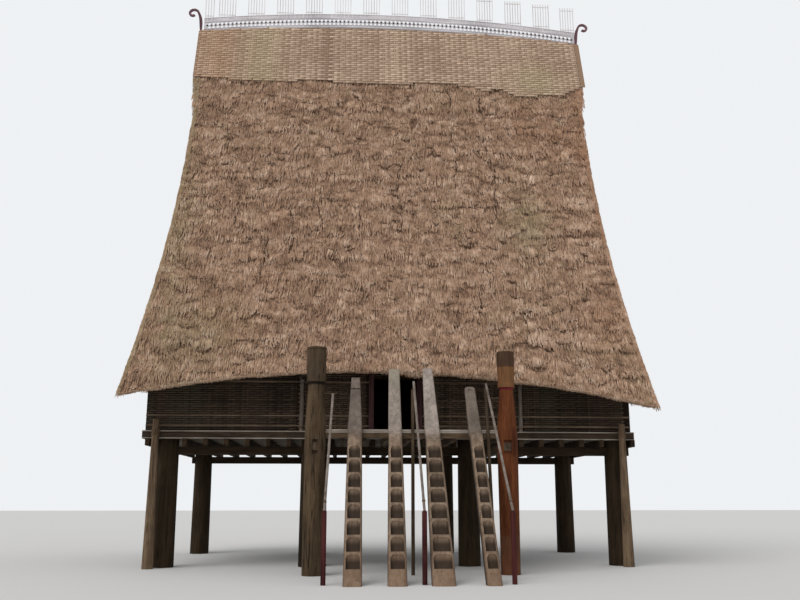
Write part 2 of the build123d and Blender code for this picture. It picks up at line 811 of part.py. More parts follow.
def as_list(solids):
    return list(solids) if isinstance(solids, (list, tuple)) else [solids]


def mirrored(solids, plane):
    return [mirror(solid, about=plane) for solid in as_list(solids)]


door_side = door_half_width + door_frame_width
rafters = front_rafters()
front_thatch = thatch_slope()
house = {
    "columns_front": column_row(-1),
    "columns_back": column_row(1),
    "floor_girders": [girder(-1), girder(1)],
    "floor_joists": floor_joists(),
    "floor_deck": floor_deck(),
    "sill_planks": sill_planks(),
    "front_wall_left": front_panel(left_wall_x, porch_wall_left),
    "front_wall_right": front_panel(porch_wall_right, right_wall_x),
    "entrance_panel_left": front_panel(porch_wall_left, -door_side),
    "entrance_panel_right": front_panel(door_side, porch_wall_right),
    "wall_over_door": wall_over_door(),
    "door_frame": door_frame(),
    "back_wall": mirrored(front_panel(left_wall_x, right_wall_x), Plane.XZ),
    "left_wall": end_wall(-1),
    "right_wall": end_wall(1),
    "entrance_posts": [entrance_post(x) for x in entrance_post_xs],
    "corner_posts": corner_posts(),
    "tie_beams": tie_beams(),
    "eave_beams": eave_beams(),
    "end_plates": end_plates(),
    "purlins": purlins(),
    "ridge_beam": ridge_beam(),
    "rafters_front": rafters,
    "rafters_back": mirrored(rafters, Plane.XZ),
    "end_poles": end_poles(-1) + end_poles(1),
    "thatch_front": front_thatch,
    "thatch_back": mirrored(front_thatch, Plane.XZ),
    "thatch_left": thatch_end(-1),
    "thatch_right": thatch_end(1),
    "ridge_net": ridge_mat(),
    "crest_band": crest_band(),
    "crest_stakes": crest_stakes(),
    "scroll_finials": [scroll(-1), scroll(1)],
    "porch_beam": porch_beam(),
    "porch_side_beams": [side_beam("left"), side_beam("right")],
    "porch_joists": porch_joists(),
    "porch_deck": porch_deck(),
    "front_post_left": great_post("left"),
    "front_post_right": great_post("right"),
    "rail_posts": rail_posts(),
    "ground_posts": ground_posts(),
    "handrails": handrails(),
    "porch_rails": porch_rails(),
}
for number, sizes in enumerate(ladders, start=1):
    house[f"ladder_{number}"] = ladder(sizes)

# The origin is on the ground under the middle of the whole house, ladders and finials included
boxes = [solid.bounding_box() for solids in house.values() for solid in as_list(solids)]
middle_x = (min(box.min.X for box in boxes) + max(box.max.X for box in boxes)) / 2
middle_y = (min(box.min.Y for box in boxes) + max(box.max.Y for box in boxes)) / 2
to_origin = Pos(-middle_x, -middle_y, 0)
print(f"the house is moved by {-middle_x:.1f}, {-middle_y:.1f} mm to the origin")

# Each sub-part, of one or several solids, goes to its own file
os.makedirs("parts", exist_ok=True)
for name, solids in house.items():
    placed = [to_origin * (Part() + solid) for solid in as_list(solids)]
    export_step(Compound(children=placed), f"parts/{name}.step")
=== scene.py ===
import bpy
import bmesh
import math
import numpy as np
from mathutils import Matrix, Vector


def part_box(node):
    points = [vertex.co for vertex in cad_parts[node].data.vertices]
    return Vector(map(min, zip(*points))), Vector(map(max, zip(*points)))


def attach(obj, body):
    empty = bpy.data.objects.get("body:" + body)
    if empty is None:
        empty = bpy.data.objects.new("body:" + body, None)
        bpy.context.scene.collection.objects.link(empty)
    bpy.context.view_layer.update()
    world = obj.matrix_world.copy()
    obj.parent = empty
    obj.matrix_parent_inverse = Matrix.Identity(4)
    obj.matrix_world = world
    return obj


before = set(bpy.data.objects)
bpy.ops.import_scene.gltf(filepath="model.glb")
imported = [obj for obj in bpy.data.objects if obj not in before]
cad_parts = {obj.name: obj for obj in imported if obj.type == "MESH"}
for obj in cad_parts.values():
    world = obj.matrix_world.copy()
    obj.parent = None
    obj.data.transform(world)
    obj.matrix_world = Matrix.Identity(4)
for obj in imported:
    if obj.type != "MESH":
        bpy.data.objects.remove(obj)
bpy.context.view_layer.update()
print("frame loaded,", len(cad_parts), "nodes")


# Places read from the frame, and the shape of the roof over them

matLow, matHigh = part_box("ridge_net")
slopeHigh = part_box("thatch_front")[1]
houseX = (matLow.x + matHigh.x) / 2  # the middle of the ridge
houseY = slopeHigh.y  # the ridge line, halfway between the two slopes
roof = {
    "top": slopeHigh.z,
    "corner": 4.30,  # height at which the widths of the roof's foot are given
    "footY": 4.88,
    "slopeSag": 0.20,
    "ridgeHalf": 6.55,
    "footHalf": 7.12,
    "footShift": 0.20,
    "endSag": 0.43,
    "ridgeDrop": 0.395,
    "ridgeLean": 0.06,
    "eaves": (4.44, 5.11, 4.17),  # left, over the porch, right
    "endRise": 0.50,
    "thick": 0.34,
    "courseBase": 4.10,
    "courseCount": 12,
    "courseLap": 0.045,
    "matFoot": matLow.z,
    "matHalf": (matHigh.x - matLow.x) / 2,
    "matFace": 0.045,  # how far the face of the mat stands over the thatch
    "leanStep": 0.05,  # half the stretch of height over which a lean is taken
}
roof["courseRise"] = (roof["matFoot"] - roof["courseBase"]) / roof["courseCount"]
roof["lapLean"] = roof["courseLap"] / roof["courseRise"]


def slopeOut(z, inset=0.0):  # distance from the ridge line to the face of a slope
    fall = roof["top"] - roof["corner"]
    run = (roof["top"] - z) / fall
    out = roof["footY"] * run - 4 * roof["slopeSag"] * run * (1 - run)
    return out - inset * math.hypot(1, roof["footY"] / fall)


def endX(z, side, inset=0.0):  # place of the face of a roof end, from the middle of the ridge
    run = (roof["top"] - z) / (roof["top"] - roof["corner"])
    width = roof["ridgeHalf"] + (roof["footHalf"] - roof["ridgeHalf"]) * run
    return side * (width - 4 * roof["endSag"] * run * (1 - run) - inset) - roof["footShift"] * run


def leanOf(outline, z, *which):  # how far a face moves out for each metre that it falls
    step = roof["leanStep"]
    return (outline(z - step, *which) - outline(z + step, *which)) / (2 * step)


def ridgeZ(x):
    part = x / roof["ridgeHalf"]
    return roof["top"] - roof["ridgeDrop"] * part ** 2 - roof["ridgeLean"] * part


def courseInset(z):  # the foot of each course stands out over the one below
    part = (z - roof["courseBase"]) / roof["courseRise"]
    return np.where(z < roof["matFoot"], roof["courseLap"] * (part - np.floor(part)), 0.0)


eaveEnds = [endX(roof["eaves"][0], -1), 0, endX(roof["eaves"][2], 1)]
eaveCurve = np.polyfit(eaveEnds, roof["eaves"], 2)


def eaveZ(x):  # arched lower edge of a slope
    return np.polyval(eaveCurve, x)


def endEaveZ(y, side):  # arched lower edge of a roof end, y from the ridge line
    corner = roof["eaves"][0] if side < 0 else roof["eaves"][2]
    return corner + roof["endRise"] * (1 - (y / (slopeOut(corner) - roof["thick"])) ** 2)


# Shader nodes

class Wire:  # a socket that can stand in Python sums
    def __init__(self, graph, socket):
        self.graph = graph
        self.socket = socket

    def __add__(self, other):
        return self.graph.maths("ADD", self, other)

    def __sub__(self, other):
        return self.graph.maths("SUBTRACT", self, other)

    def __mul__(self, other):
        return self.graph.maths("MULTIPLY", self, other)

    def __truediv__(self, other):
        return self.graph.maths("DIVIDE", self, other)

    def __radd__(self, other):
        return self.graph.maths("ADD", other, self)

    def __rsub__(self, other):
        return self.graph.maths("SUBTRACT", other, self)

    def __rmul__(self, other):
        return self.graph.maths("MULTIPLY", other, self)


class Graph:  # the nodes of one material or of the world
    def __init__(self, owner):
        owner.use_nodes = True
        self.owner = owner
        self.tree = owner.node_tree
        self.tree.nodes.clear()

    def add(self, kind, settings=None, values=None, out=0):
        node = self.tree.nodes.new(kind)
        for name, value in (settings or {}).items():
            setattr(node, name, value)
        for name, value in (values or {}).items():
            if isinstance(value, Wire):
                self.tree.links.new(value.socket, node.inputs[name])
            else:
                node.inputs[name].default_value = value
        return Wire(self, node.outputs[out]) if node.outputs else node

    def maths(self, operation, first, second=0.0):
        return self.add("ShaderNodeMath", {"operation": operation}, {0: first, 1: second})

    def place(self, scale=(1, 1, 1), turn=(0, 0, 0)):
        spot = self.add("ShaderNodeTexCoord", out="Object")
        return self.add("ShaderNodeMapping", None, {"Vector": spot, "Rotation": turn, "Scale": scale})

    def axis(self, vector, name):
        return self.add("ShaderNodeSeparateXYZ", None, {0: vector}, out=name)

    def noise(self, vector, scale, detail=3.0, roughness=0.55, distortion=0.0):
        values = {"Vector": vector, "Scale": scale, "Detail": detail, "Roughness": roughness,
                  "Distortion": distortion}
        return self.add("ShaderNodeTexNoise", None, values)

    def cells(self, vector, scale, feature="F1"):
        return self.add("ShaderNodeTexVoronoi", {"feature": feature}, {"Vector": vector, "Scale": scale})

    def ease(self, value, low, high):  # goes smoothly from 0 at low to 1 at high
        values = {"Value": value, "From Min": low, "From Max": high}
        return self.add("ShaderNodeMapRange", {"interpolation_type": "SMOOTHSTEP"}, values)

    def tint(self, factor, first, second):
        settings = {"data_type": "RGBA", "clamp_factor": True}
        return self.add("ShaderNodeMix", settings, {0: factor, 6: first, 7: second}, out=2)

    def bump(self, height, strength, distance):
        values = {"Height": height, "Strength": strength, "Distance": distance}
        return self.add("ShaderNodeBump", None, values)

    def finish(self, colour, roughness, specular, normal=None):
        values = {"Base Color": colour, "Roughness": roughness, "Specular IOR Level": specular}
        if normal is not None:
            values["Normal"] = normal
        shader = self.add("ShaderNodeBsdfPrincipled", None, values)
        self.add("ShaderNodeOutputMaterial", None, {"Surface": shader})
        return self.owner


def newGraph(name):
    return Graph(bpy.data.materials.new(name))


def rgba(colour, factor=1.0):  # a colour, made darker or lighter
    return (*[part * factor for part in colour[:3]], 1)


# Camera, light and floor

view = {
    "place": (houseX - 1.32, houseY - 27.77, 1.77),
    "turn": 3.4,  # degrees towards +X
    "pitch": 12.8,
    "lens": 39.45,
    "sensor": 36,
    "reach": 500,
    "floorSize": 240,
    "floorColour": (0.60, 0.585, 0.56, 1),
    "worldLight": 0.72,
    "worldColour": (0.93, 0.96, 1.0, 1),
    "backColour": (0.86, 0.88, 0.90, 1),
    "sunStrength": 1.5,
    "sunTilt": (40, -14, -24),
    "sunSoftness": 40,
}


def aimCamera():
    camera = bpy.data.objects.new("photoCamera", bpy.data.cameras.new("photoCamera"))
    camera.data.lens = view["lens"]
    camera.data.sensor_width = view["sensor"]
    camera.data.clip_end = view["reach"]
    camera.location = view["place"]
    camera.rotation_euler = (math.radians(90 + view["pitch"]), 0, math.radians(-view["turn"]))
    bpy.context.scene.collection.objects.link(camera)
    bpy.context.scene.camera = camera


def lightScene():
    world = bpy.data.worlds.new("softSky")
    bpy.context.scene.world = world
    graph = Graph(world)
    path = graph.add("ShaderNodeLightPath", out="Is Camera Ray")
    colour = graph.tint(path, view["worldColour"], view["backColour"])
    strength = view["worldLight"] + (1 - view["worldLight"]) * path
    sky = graph.add("ShaderNodeBackground", None, {"Color": colour, "Strength": strength})
    graph.add("ShaderNodeOutputWorld", None, {"Surface": sky})
    sun = bpy.data.objects.new("softSun", bpy.data.lights.new("softSun", "SUN"))
    sun.data.energy = view["sunStrength"]
    sun.data.angle = math.radians(view["sunSoftness"])
    sun.rotation_euler = [math.radians(angle) for angle in view["sunTilt"]]
    bpy.context.scene.collection.objects.link(sun)


def layFloor():
    mesh = bmesh.new()
    bmesh.ops.create_grid(mesh, x_segments=1, y_segments=1, size=view["floorSize"] / 2)
    data = bpy.data.meshes.new("studioFloor")
    mesh.to_mesh(data)
    mesh.free()
    floor = bpy.data.objects.new("studioFloor", data)
    bpy.context.scene.collection.objects.link(floor)
    data.materials.append(newGraph("studioFloor").finish(view["floorColour"], 0.9, 0.1))


aimCamera()
lightScene()
layFloor()
bpy.context.scene.view_settings.view_transform = "Standard"
print("camera, light and floor placed")


# Timber and bamboo finishes

grain = {
    "turns": {"z": (1, 1, 0.07), "x": (0.07, 1, 1), "y": (1, 0.07, 1)},  # stretched along the piece
    "fibre": 46,
    "figure": 9,
    "weather": 1.3,
    "checks": 20,
    "checkEdge": (0.60, 0.72),
    "knots": 2.3,
    "knotEdge": (0.075, 0.02),
    "shade": (0.38, 0.78),
    "bandEdge": 0.012,  # half the height over which a band of another colour fades in
    "facets": 11,
    "specular": 0.10,
}
roofWood = {"dark": (0.060, 0.042, 0.028), "light": (0.200, 0.145, 0.095), "crack": 0.4}
brownBamboo = {"dark": (0.070, 0.048, 0.032), "light": (0.260, 0.190, 0.130), "crack": 0.3}
timberLooks = {  # a band is its lower and upper height, its colour and how much of it shows
    "columnWood": {"dark": (0.014, 0.009, 0.005), "light": (0.051, 0.033, 0.018), "run": "z", "crack": 0.55},
    "joistWood": {"dark": (0.015, 0.009, 0.005), "light": (0.061, 0.038, 0.021), "run": "y", "crack": 0.4},
    "girderWood": {"dark": (0.015, 0.009, 0.005), "light": (0.052, 0.033, 0.019), "run": "x", "crack": 0.4},
    "sillWood": {"dark": (0.022, 0.015, 0.010), "light": (0.078, 0.053, 0.035), "run": "x", "crack": 0.5},
    "doorWood": {"dark": (0.032, 0.014, 0.015), "light": (0.105, 0.050, 0.052), "run": "z", "crack": 0.3},
    # the great posts' colours are darker than their wood: part of the shade under the eaves is painted into them
    "greyPost": {
        "dark": (0.031, 0.020, 0.011), "light": (0.111, 0.073, 0.042), "run": "z", "crack": 0.9, "adze": 1.0,
        "bands": [(4.535, 4.610, (0.016, 0.011, 0.008), 0.9), (4.63, 5.36, (0.070, 0.049, 0.031), 0.5)],
    },
    "redPost": {
        "dark": (0.053, 0.014, 0.005), "light": (0.171, 0.055, 0.020), "run": "z", "crack": 0.5, "adze": 0.8,
        "bands": [
            (0.0, 0.9, (0.130, 0.062, 0.036), 0.5), (4.435, 4.500, (0.150, 0.018, 0.024), 0.92),
            (4.500, 5.02, (0.170, 0.086, 0.038), 0.75), (5.02, 5.60, (0.060, 0.038, 0.024), 0.85),
        ],
    },
    "darkPole": {"dark": (0.034, 0.022, 0.013), "light": (0.115, 0.080, 0.050), "run": "z", "crack": 0.5},
    "cornerPole": {"dark": (0.057, 0.036, 0.022), "light": (0.218, 0.151, 0.093), "run": "z", "crack": 0.6},
    "palePole": {"dark": (0.095, 0.072, 0.058), "light": (0.290, 0.240, 0.205), "run": "z", "crack": 0.4},
    "redPole": {"dark": (0.024, 0.006, 0.006), "light": (0.096, 0.027, 0.024), "run": "z", "crack": 0.3},
    "roofTimberX": {**roofWood, "run": "x"},
    "roofTimberY": {**roofWood, "run": "y"},
    "roofTimberZ": {**roofWood, "run": "z"},
    "porchTimberX": {"dark": (0.047, 0.030, 0.017), "light": (0.168, 0.113, 0.069), "run": "x", "crack": 0.4},
    "porchTimberY": {"dark": (0.035, 0.024, 0.016), "light": (0.133, 0.092, 0.060), "run": "y", "crack": 0.4},
    "porchDeck": {"dark": (0.220, 0.185, 0.150), "light": (0.520, 0.455, 0.385), "run": "x", "crack": 0.4},
    "scrollWood": {"dark": (0.078, 0.034, 0.042), "light": (0.220, 0.120, 0.135), "run": "z", "crack": 0.2},
    "pale": {"dark": (0.200, 0.165, 0.130), "light": (0.460, 0.400, 0.340), "run": "x", "crack": 0.3},
    "brown": {**brownBamboo, "run": "x"},
    "brownY": {**brownBamboo, "run": "y"},
    "rattan": {"dark": (0.060, 0.036, 0.022), "light": (0.240, 0.165, 0.100), "run": "z", "crack": 0.0},
    "capGrey": {"dark": (0.340, 0.325, 0.325), "light": (0.640, 0.620, 0.620), "run": "x", "crack": 0.2},
    "crestBamboo": {"dark": (0.440, 0.405, 0.415), "light": (0.760, 0.715, 0.725), "run": "x", "crack": 0.3},
    "crestUpright": {"dark": (0.560, 0.520, 0.520), "light": (0.860, 0.820, 0.815), "run": "z", "crack": 0.3},
    "crestDot": {"dark": (0.025, 0.015, 0.016), "light": (0.070, 0.042, 0.045), "run": "z", "crack": 0.0},
}
timberNodes = {
    "columnWood": ("columns_front", "columns_back"),
    "girderWood": ("floor_girders",),
    "joistWood": ("floor_joists",),
    "sillWood": ("sill_planks",),
    "doorWood": ("door_frame",),
    "greyPost": ("front_post_left",),
    "redPost": ("front_post_right",),
    "cornerPole": ("corner_posts",),
    "darkPole": ("rail_posts", "porch_rails"),
    "palePole": ("entrance_posts", "handrails"),
    "redPole": ("ground_posts",),
    "roofTimberX": ("eave_beams", "purlins", "ridge_beam"),
    "roofTimberY": ("tie_beams", "end_plates"),
    "roofTimberZ": ("rafters_front", "rafters_back", "end_poles"),
    "porchTimberX": ("porch_beam",),
    "porchTimberY": ("porch_joists", "porch_side_beams"),
    "porchDeck": ("porch_deck",),
    "scrollWood": ("scroll_finials",),
    "crestBamboo": ("crest_band",),
    "crestUpright": ("crest_stakes",),
}


def timber(name, look):  # grain that runs along a piece, with checks and weathering
    graph = newGraph(name)
    along = graph.place(scale=grain["turns"][look["run"]])
    around = graph.place()
    fibre = graph.noise(along, grain["fibre"], 4, 0.6)
    figure = graph.noise(along, grain["figure"], 3, 0.5, 0.6)
    weather = graph.noise(around, grain["weather"], 3, 0.55)
    checks = graph.noise(along, grain["checks"], 2, 0.5, 0.3)
    checks = graph.ease(checks, *grain["checkEdge"]) * look["crack"]
    knots = graph.ease(graph.cells(around, grain["knots"]), *grain["knotEdge"]) * 0.6
    shade = graph.ease(0.45 * figure + 0.35 * fibre + 0.35 * weather, *grain["shade"])
    colour = graph.tint(shade, rgba(look["dark"]), rgba(look["light"]))
    height = graph.axis(around, "Z")
    edge = grain["bandEdge"]
    for low, high, bandColour, share in look.get("bands", []):
        inside = graph.ease(height, low - edge, low + edge) * graph.ease(height, high + edge, high - edge)
        bandTone = graph.tint(shade, rgba(bandColour, 0.6), rgba(bandColour, 1.3))
        colour = graph.tint(inside * share, colour, bandTone)
    colour = graph.tint(graph.ease(checks + knots, 0, 1), colour, rgba(look["dark"], 0.5))
    relief = 0.5 * fibre + 0.8 * figure - 1.6 * checks - 0.8 * knots
    if "adze" in look:
        facets = graph.cells(graph.place(scale=(1, 1, 0.45)), grain["facets"], "SMOOTH_F1")
        relief = relief + 1.6 * look["adze"] * facets
    return graph.finish(colour, 0.72 + 0.2 * weather, grain["specular"], graph.bump(relief, 0.7, 0.012))


def dress(material, *nodes):
    for name in nodes:
        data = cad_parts[name].data
        data.materials.clear()
        data.materials.append(material)


finishes = {name: timber(name, look) for name, look in timberLooks.items()}
for finishName, nodeNames in timberNodes.items():
    dress(finishes[finishName], *nodeNames)
print("timber dressed")


slatLook = {
    "pitch": 0.07,  # split bamboo laid side by side
    "gap": (0.40, 0.49),
    "fibre": 60,
    "dark": (0.050, 0.038, 0.027),
    "light": (0.230, 0.180, 0.125),
}


def slatFloor():  # slats along x, each with a tone of its own
    graph = newGraph("slatFloor")
    across = graph.axis(graph.place(), "Y") / slatLook["pitch"]
    number = graph.maths("FLOOR", across)
    ownTone = graph.add("ShaderNodeTexWhiteNoise", {"noise_dimensions": "1D"}, {"W": number}, out="Value")
    gap = graph.ease(graph.maths("ABSOLUTE", across - number - 0.5), *slatLook["gap"])
    fibre = graph.noise(graph.place(scale=(0.06, 1, 1)), slatLook["fibre"], 3, 0.6)
    tone = graph.ease(0.5 * ownTone + 0.6 * fibre, 0.2, 0.9)
    colour = graph.tint(tone, rgba(slatLook["dark"]), rgba(slatLook["light"]))
    colour = graph.tint(gap, colour, rgba(slatLook["dark"], 0.3))
    return graph.finish(colour, 0.7 + 0.2 * fibre, 0.25, graph.bump(0.4 * fibre - gap, 0.8, 0.01))


dress(slatFloor(), "floor_deck")


ladderLook = {
    "slope": 54.03,  # degrees
    # dark, light and the heads' colours are darker than the wood: part of the shade under the house is painted
    # into them
    "dark": (0.105, 0.070, 0.046),
    "light": (0.340, 0.240, 0.165),
    "dust": (0.180, 0.105, 0.062),
    "moss": (0.200, 0.190, 0.120),
    # colour of the shade painted into the pockets
    "pocket": (0.030, 0.019, 0.012),
    "fibre": 50,
    "figure": 10,
    "weather": 1.7,
    "checks": 22,
    "facets": 14,
    "headFrom": (3.1, 3.5),  # heights between which the worn head begins
    "mossFrom": (4.4, 5.0),
    "dustBelow": (1.3, 0.1),
    "pocketDepth": (0.035, 0.12),  # behind the front of the log, over which the painted shade in the pockets comes in
    "pocketTop": (3.32, 3.20),
    "treads": (0.75, 0.97),  # how far a face looks up; faces that look up get less painted shade, as lit treads
    # colour of the head, how worn it is and how green its top
    "heads": {
        "ladder_1": ((0.150, 0.118, 0.098), 0.90, 0.0), "ladder_2": ((0.300, 0.250, 0.210), 0.85, 0.40),
        "ladder_3": ((0.350, 0.292, 0.250), 0.95, 0.0), "ladder_4": ((0.150, 0.120, 0.096), 0.90, 0.0),
    },
}


def ladderWood(node):  # adzed log: grain runs up the slope, red dust near the foot, painted shade in the pockets
    head, paleness, green = ladderLook["heads"][node]
    graph = newGraph(node + "_wood")
    slope = math.radians(ladderLook["slope"])
    along = graph.place(scale=(1, 1, 0.08), turn=(math.radians(90 - ladderLook["slope"]), 0, 0))
    around = graph.place()
    fibre = graph.noise(along, ladderLook["fibre"], 4, 0.6)
    figure = graph.noise(along, ladderLook["figure"], 3, 0.5, 0.5)
    facets = graph.cells(around, ladderLook["facets"], "SMOOTH_F1")
    weather = graph.noise(around, ladderLook["weather"], 3, 0.6)
    checks = graph.ease(graph.noise(along, ladderLook["checks"], 2, 0.5, 0.3), 0.62, 0.74) * 0.5
    shade = graph.ease(0.4 * figure + 0.35 * fibre + 0.4 * weather, 0.38, 0.80)
    colour = graph.tint(shade, rgba(ladderLook["dark"]), rgba(ladderLook["light"]))
    height = graph.axis(around, "Z")
    headTone = graph.tint(shade, rgba(head, 0.55), rgba(head, 1.25))
    colour = graph.tint(graph.ease(height, *ladderLook["headFrom"]) * paleness, colour, headTone)
    colour = graph.tint(graph.ease(height, *ladderLook["mossFrom"]) * green, colour, rgba(ladderLook["moss"]))
    colour = graph.tint(graph.ease(height, *ladderLook["dustBelow"]) * 0.55, colour, rgba(ladderLook["dust"]))
    colour = graph.tint(checks, colour, rgba(ladderLook["dark"], 0.5))
    # painted shade in the pockets: deeper behind the front of the log, less on treads that look up, only below
    # the head
    depth = graph.axis(around, "Y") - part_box(node)[0].y
    depth = depth * math.sin(slope) - height * math.cos(slope)
    upward = graph.axis(graph.add("ShaderNodeNewGeometry", out="Normal"), "Z")
    pocketShadeMask = graph.ease(depth, *ladderLook["pocketDepth"])
    pocketShadeMask = pocketShadeMask * (0.88 - 0.60 * graph.ease(upward, *ladderLook["treads"]))
    pocketShadeMask = pocketShadeMask * graph.ease(height, *ladderLook["pocketTop"])
    colour = graph.tint(pocketShadeMask, colour, rgba(ladderLook["pocket"]))
    relief = 0.5 * fibre + 0.6 * figure + 0.8 * facets - 1.2 * checks
    return graph.finish(colour, 0.78, 0.2, graph.bump(relief, 0.7, 0.012))


for nodeName in ladderLook["heads"]:
    dress(ladderWood(nodeName), nodeName)
print("floor and ladders dressed")


# Copies of one small shape, joined into one mesh

def vectors(x, y, z):  # rows of places or directions; a plain number is the same in every row
    return np.stack(np.broadcast_arrays(x, y, z), axis=1)


def templateOf(mesh):  # points and faces of a bmesh, as arrays
    mesh.verts.ensure_lookup_table()
    mesh.verts.index_update()
    points = np.array([vert.co[:] for vert in mesh.verts])
    faces = [[vert.index for vert in face.verts] for face in mesh.faces]
    mesh.free()
    return points, faces


def settle(name, data, finish):
    piece = bpy.data.objects.new(name, data)
    bpy.context.scene.collection.objects.link(piece)
    data.materials.append(finish)
    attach(piece, "root")
    print(name, len(data.polygons), "faces")


def joinCopies(name, template, copies, finish):
    points, faces = template
    roots, sides, outs, alongs, shades = copies  # each copy has its own three axes, which carry its size
    count = len(roots)
    spread = (
        roots[:, None, :]
        + points[None, :, 0, None] * sides[:, None, :]
        + points[None, :, 1, None] * outs[:, None, :]
        + points[None, :, 2, None] * alongs[:, None, :]
    )
    sizes = np.tile([len(face) for face in faces], count)
    corners = np.concatenate([np.array(face) for face in faces])
    corners = (corners[None, :] + len(points) * np.arange(count)[:, None]).ravel()
    data = bpy.data.meshes.new(name)
    data.vertices.add(count * len(points))
    data.vertices.foreach_set("co", spread.astype(np.float32).ravel())
    data.loops.add(len(corners))
    data.loops.foreach_set("vertex_index", corners.astype(np.int32))
    data.polygons.add(len(sizes))
    data.polygons.foreach_set("loop_start", np.concatenate([[0], np.cumsum(sizes)[:-1]]).astype(np.int32))
    data.update(calc_edges=True)
    layer = data.attributes.new("shade", "FLOAT_COLOR", "POINT")
    values = np.ones((count, len(points), 4), np.float32)
    values[:, :, 0] = shades[:, 0, None]  # tone of the copy
    values[:, :, 1] = points[None, :, 2]  # place along the copy
    values[:, :, 2] = shades[:, 1, None]  # share of the warm colour
    values[:, :, 3] = shades[:, 2, None]  # share of the green colour
    layer.data.foreach_set("color", values.ravel())
    settle(name, data, finish)


def readShade(graph):  # tone, place along, warm share and green share of a copy
    node = graph.add("ShaderNodeAttribute", {"attribute_name": "shade"}, out="Color").socket.node
    parts = graph.add("ShaderNodeSeparateColor", None, {0: Wire(graph, node.outputs["Color"])}).socket.node
    tone, along, warm = [Wire(graph, parts.outputs[name]) for name in ("Red", "Green", "Blue")]
    return tone, along, warm, Wire(graph, node.outputs["Alpha"])


def plainShades(rng, count, spread=0.17):
    shades = np.zeros((count, 3))
    shades[:, 0] = np.clip(rng.normal(0.5, spread, count), 0, 1)
    return shades


def stain(x, z, shades, patches):  # soft round patches of the warm and the green colour
    for midX, midZ, halfX, halfZ, warm, green in patches:
        near = np.exp(-((x - midX) / halfX) ** 2 - ((z - midZ) / halfZ) ** 2)
        shades[:, 1] += warm * near
        shades[:, 2] += green * near


def waver(x, seed):  # slow ups and downs along a course, about -1 to 1
    phases = np.random.default_rng(seed).uniform(0, 2 * math.pi, 4)
    return sum(np.sin(x * rate + phase) for rate, phase in zip((0.9, 2.1, 4.7, 9.3), phases)) / 2.4


def faceAxes(lean, side, outward):  # facing and downward directions of a leaning face
    norm = np.sqrt(1 + lean ** 2)
    facing = np.zeros((len(lean), 3))
    down = np.zeros((len(lean), 3))
    facing[:, outward] = side / norm  # outward is 0 for a roof end and 1 for a slope
    facing[:, 2] = lean / norm
    down[:, outward] = side * lean / norm
    down[:, 2] = -1 / norm
    return facing, down


# Thatch

thatch = {
    "seed": 11,
    "rowsPerCourse": 7,
    "backRows": 5,
    "tuftPitch": 0.30,
    "tuftWidth": 0.34,
    "strawsPerTuft": 20,
    "backStraws": 15,
    "length": (0.34, 0.58),
    "lengthSpread": (0.80, 1.12),
    "sidesShorter": 0.22,
    "halfWidth": (0.008, 0.015),
    "flatness": 0.35,
    "lift": (0.020, 0.012),  # middle and spread of how far the tips stand out
    "liftLimits": (0.004, 0.045),
    "liftSpread": (0.5, 1.2),
    "sunk": 0.006,
    "lean": 0.10,
    "strawLean": 0.04,
    "fan": 0.16,
    "rootShift": (-0.05, 0.06),
    "pastEave": 0.05,
    "overEave": 0.12,
    "underMat": 0.35,
    "footWave": 0.12,  # how unevenly the foot of a course hangs
    "jitter": 0.08,
    "tone": 0.13,
    "strawTone": 0.10,
    "dark": (0.150, 0.086, 0.054, 1),
    "mid": (0.620, 0.400, 0.268, 1),
    "light": (0.950, 0.710, 0.535, 1),
    "warm": (0.500, 0.262, 0.150, 1),
    "green": (0.450, 0.385, 0.215, 1),
    # colour of the shade painted between and under the straws
    "under": (0.060, 0.038, 0.025, 1),
    # patches on the front slope: middle across and up, half sizes, warm share, green share
    "patches": [
        (4.2, 14.3, 0.35, 0.8, 0.8, 0.0), (5.9, 6.9, 0.45, 0.9, 0.7, 0.0), (5.3, 13.6, 0.8, 0.8, 0.6, 0.0),
        (4.1, 10.2, 0.6, 1.0, 0.0, 0.8), (-5.4, 6.4, 1.2, 1.2, 0.0, 0.5), (6.3, 13.8, 0.35, 2.6, 0.7, 0.0),
        (-6.3, 9.5, 0.3, 3.6, 0.0, 0.5), (6.9, 4.9, 0.5, 0.6, 0.0, 0.4),
    ],
}


def solidFinish():  # the thatch solids, which show between the straws and from below, coloured darker than the straws as painted shade
    graph = newGraph("thatchSolid")
    patches = graph.noise(graph.place(), 1.5, 3, 0.6)
    streaks = graph.noise(graph.place(scale=(1, 0.45, 0.10)), 42, 3, 0.7)
    colour = graph.tint(graph.ease(streaks, 0.36, 0.70), thatch["dark"], thatch["mid"])
    # patches darkened towards the colour of the painted shade
    colour = graph.tint(graph.ease(patches, 0.35, 0.75) * 0.4, colour, thatch["under"])
    return graph.finish(colour, 0.95, 0.1, graph.bump(streaks, 0.8, 0.02))


# dark strokes that paint the shadow under the tufts and in the seams
def shadowStrokeFinish():
    graph = newGraph("thatchPaintedShadow")
    colour = graph.tint(graph.noise(graph.place(), 30, 2), thatch["under"], thatch["dark"])
    return graph.finish(colour, 0.95, 0.05)


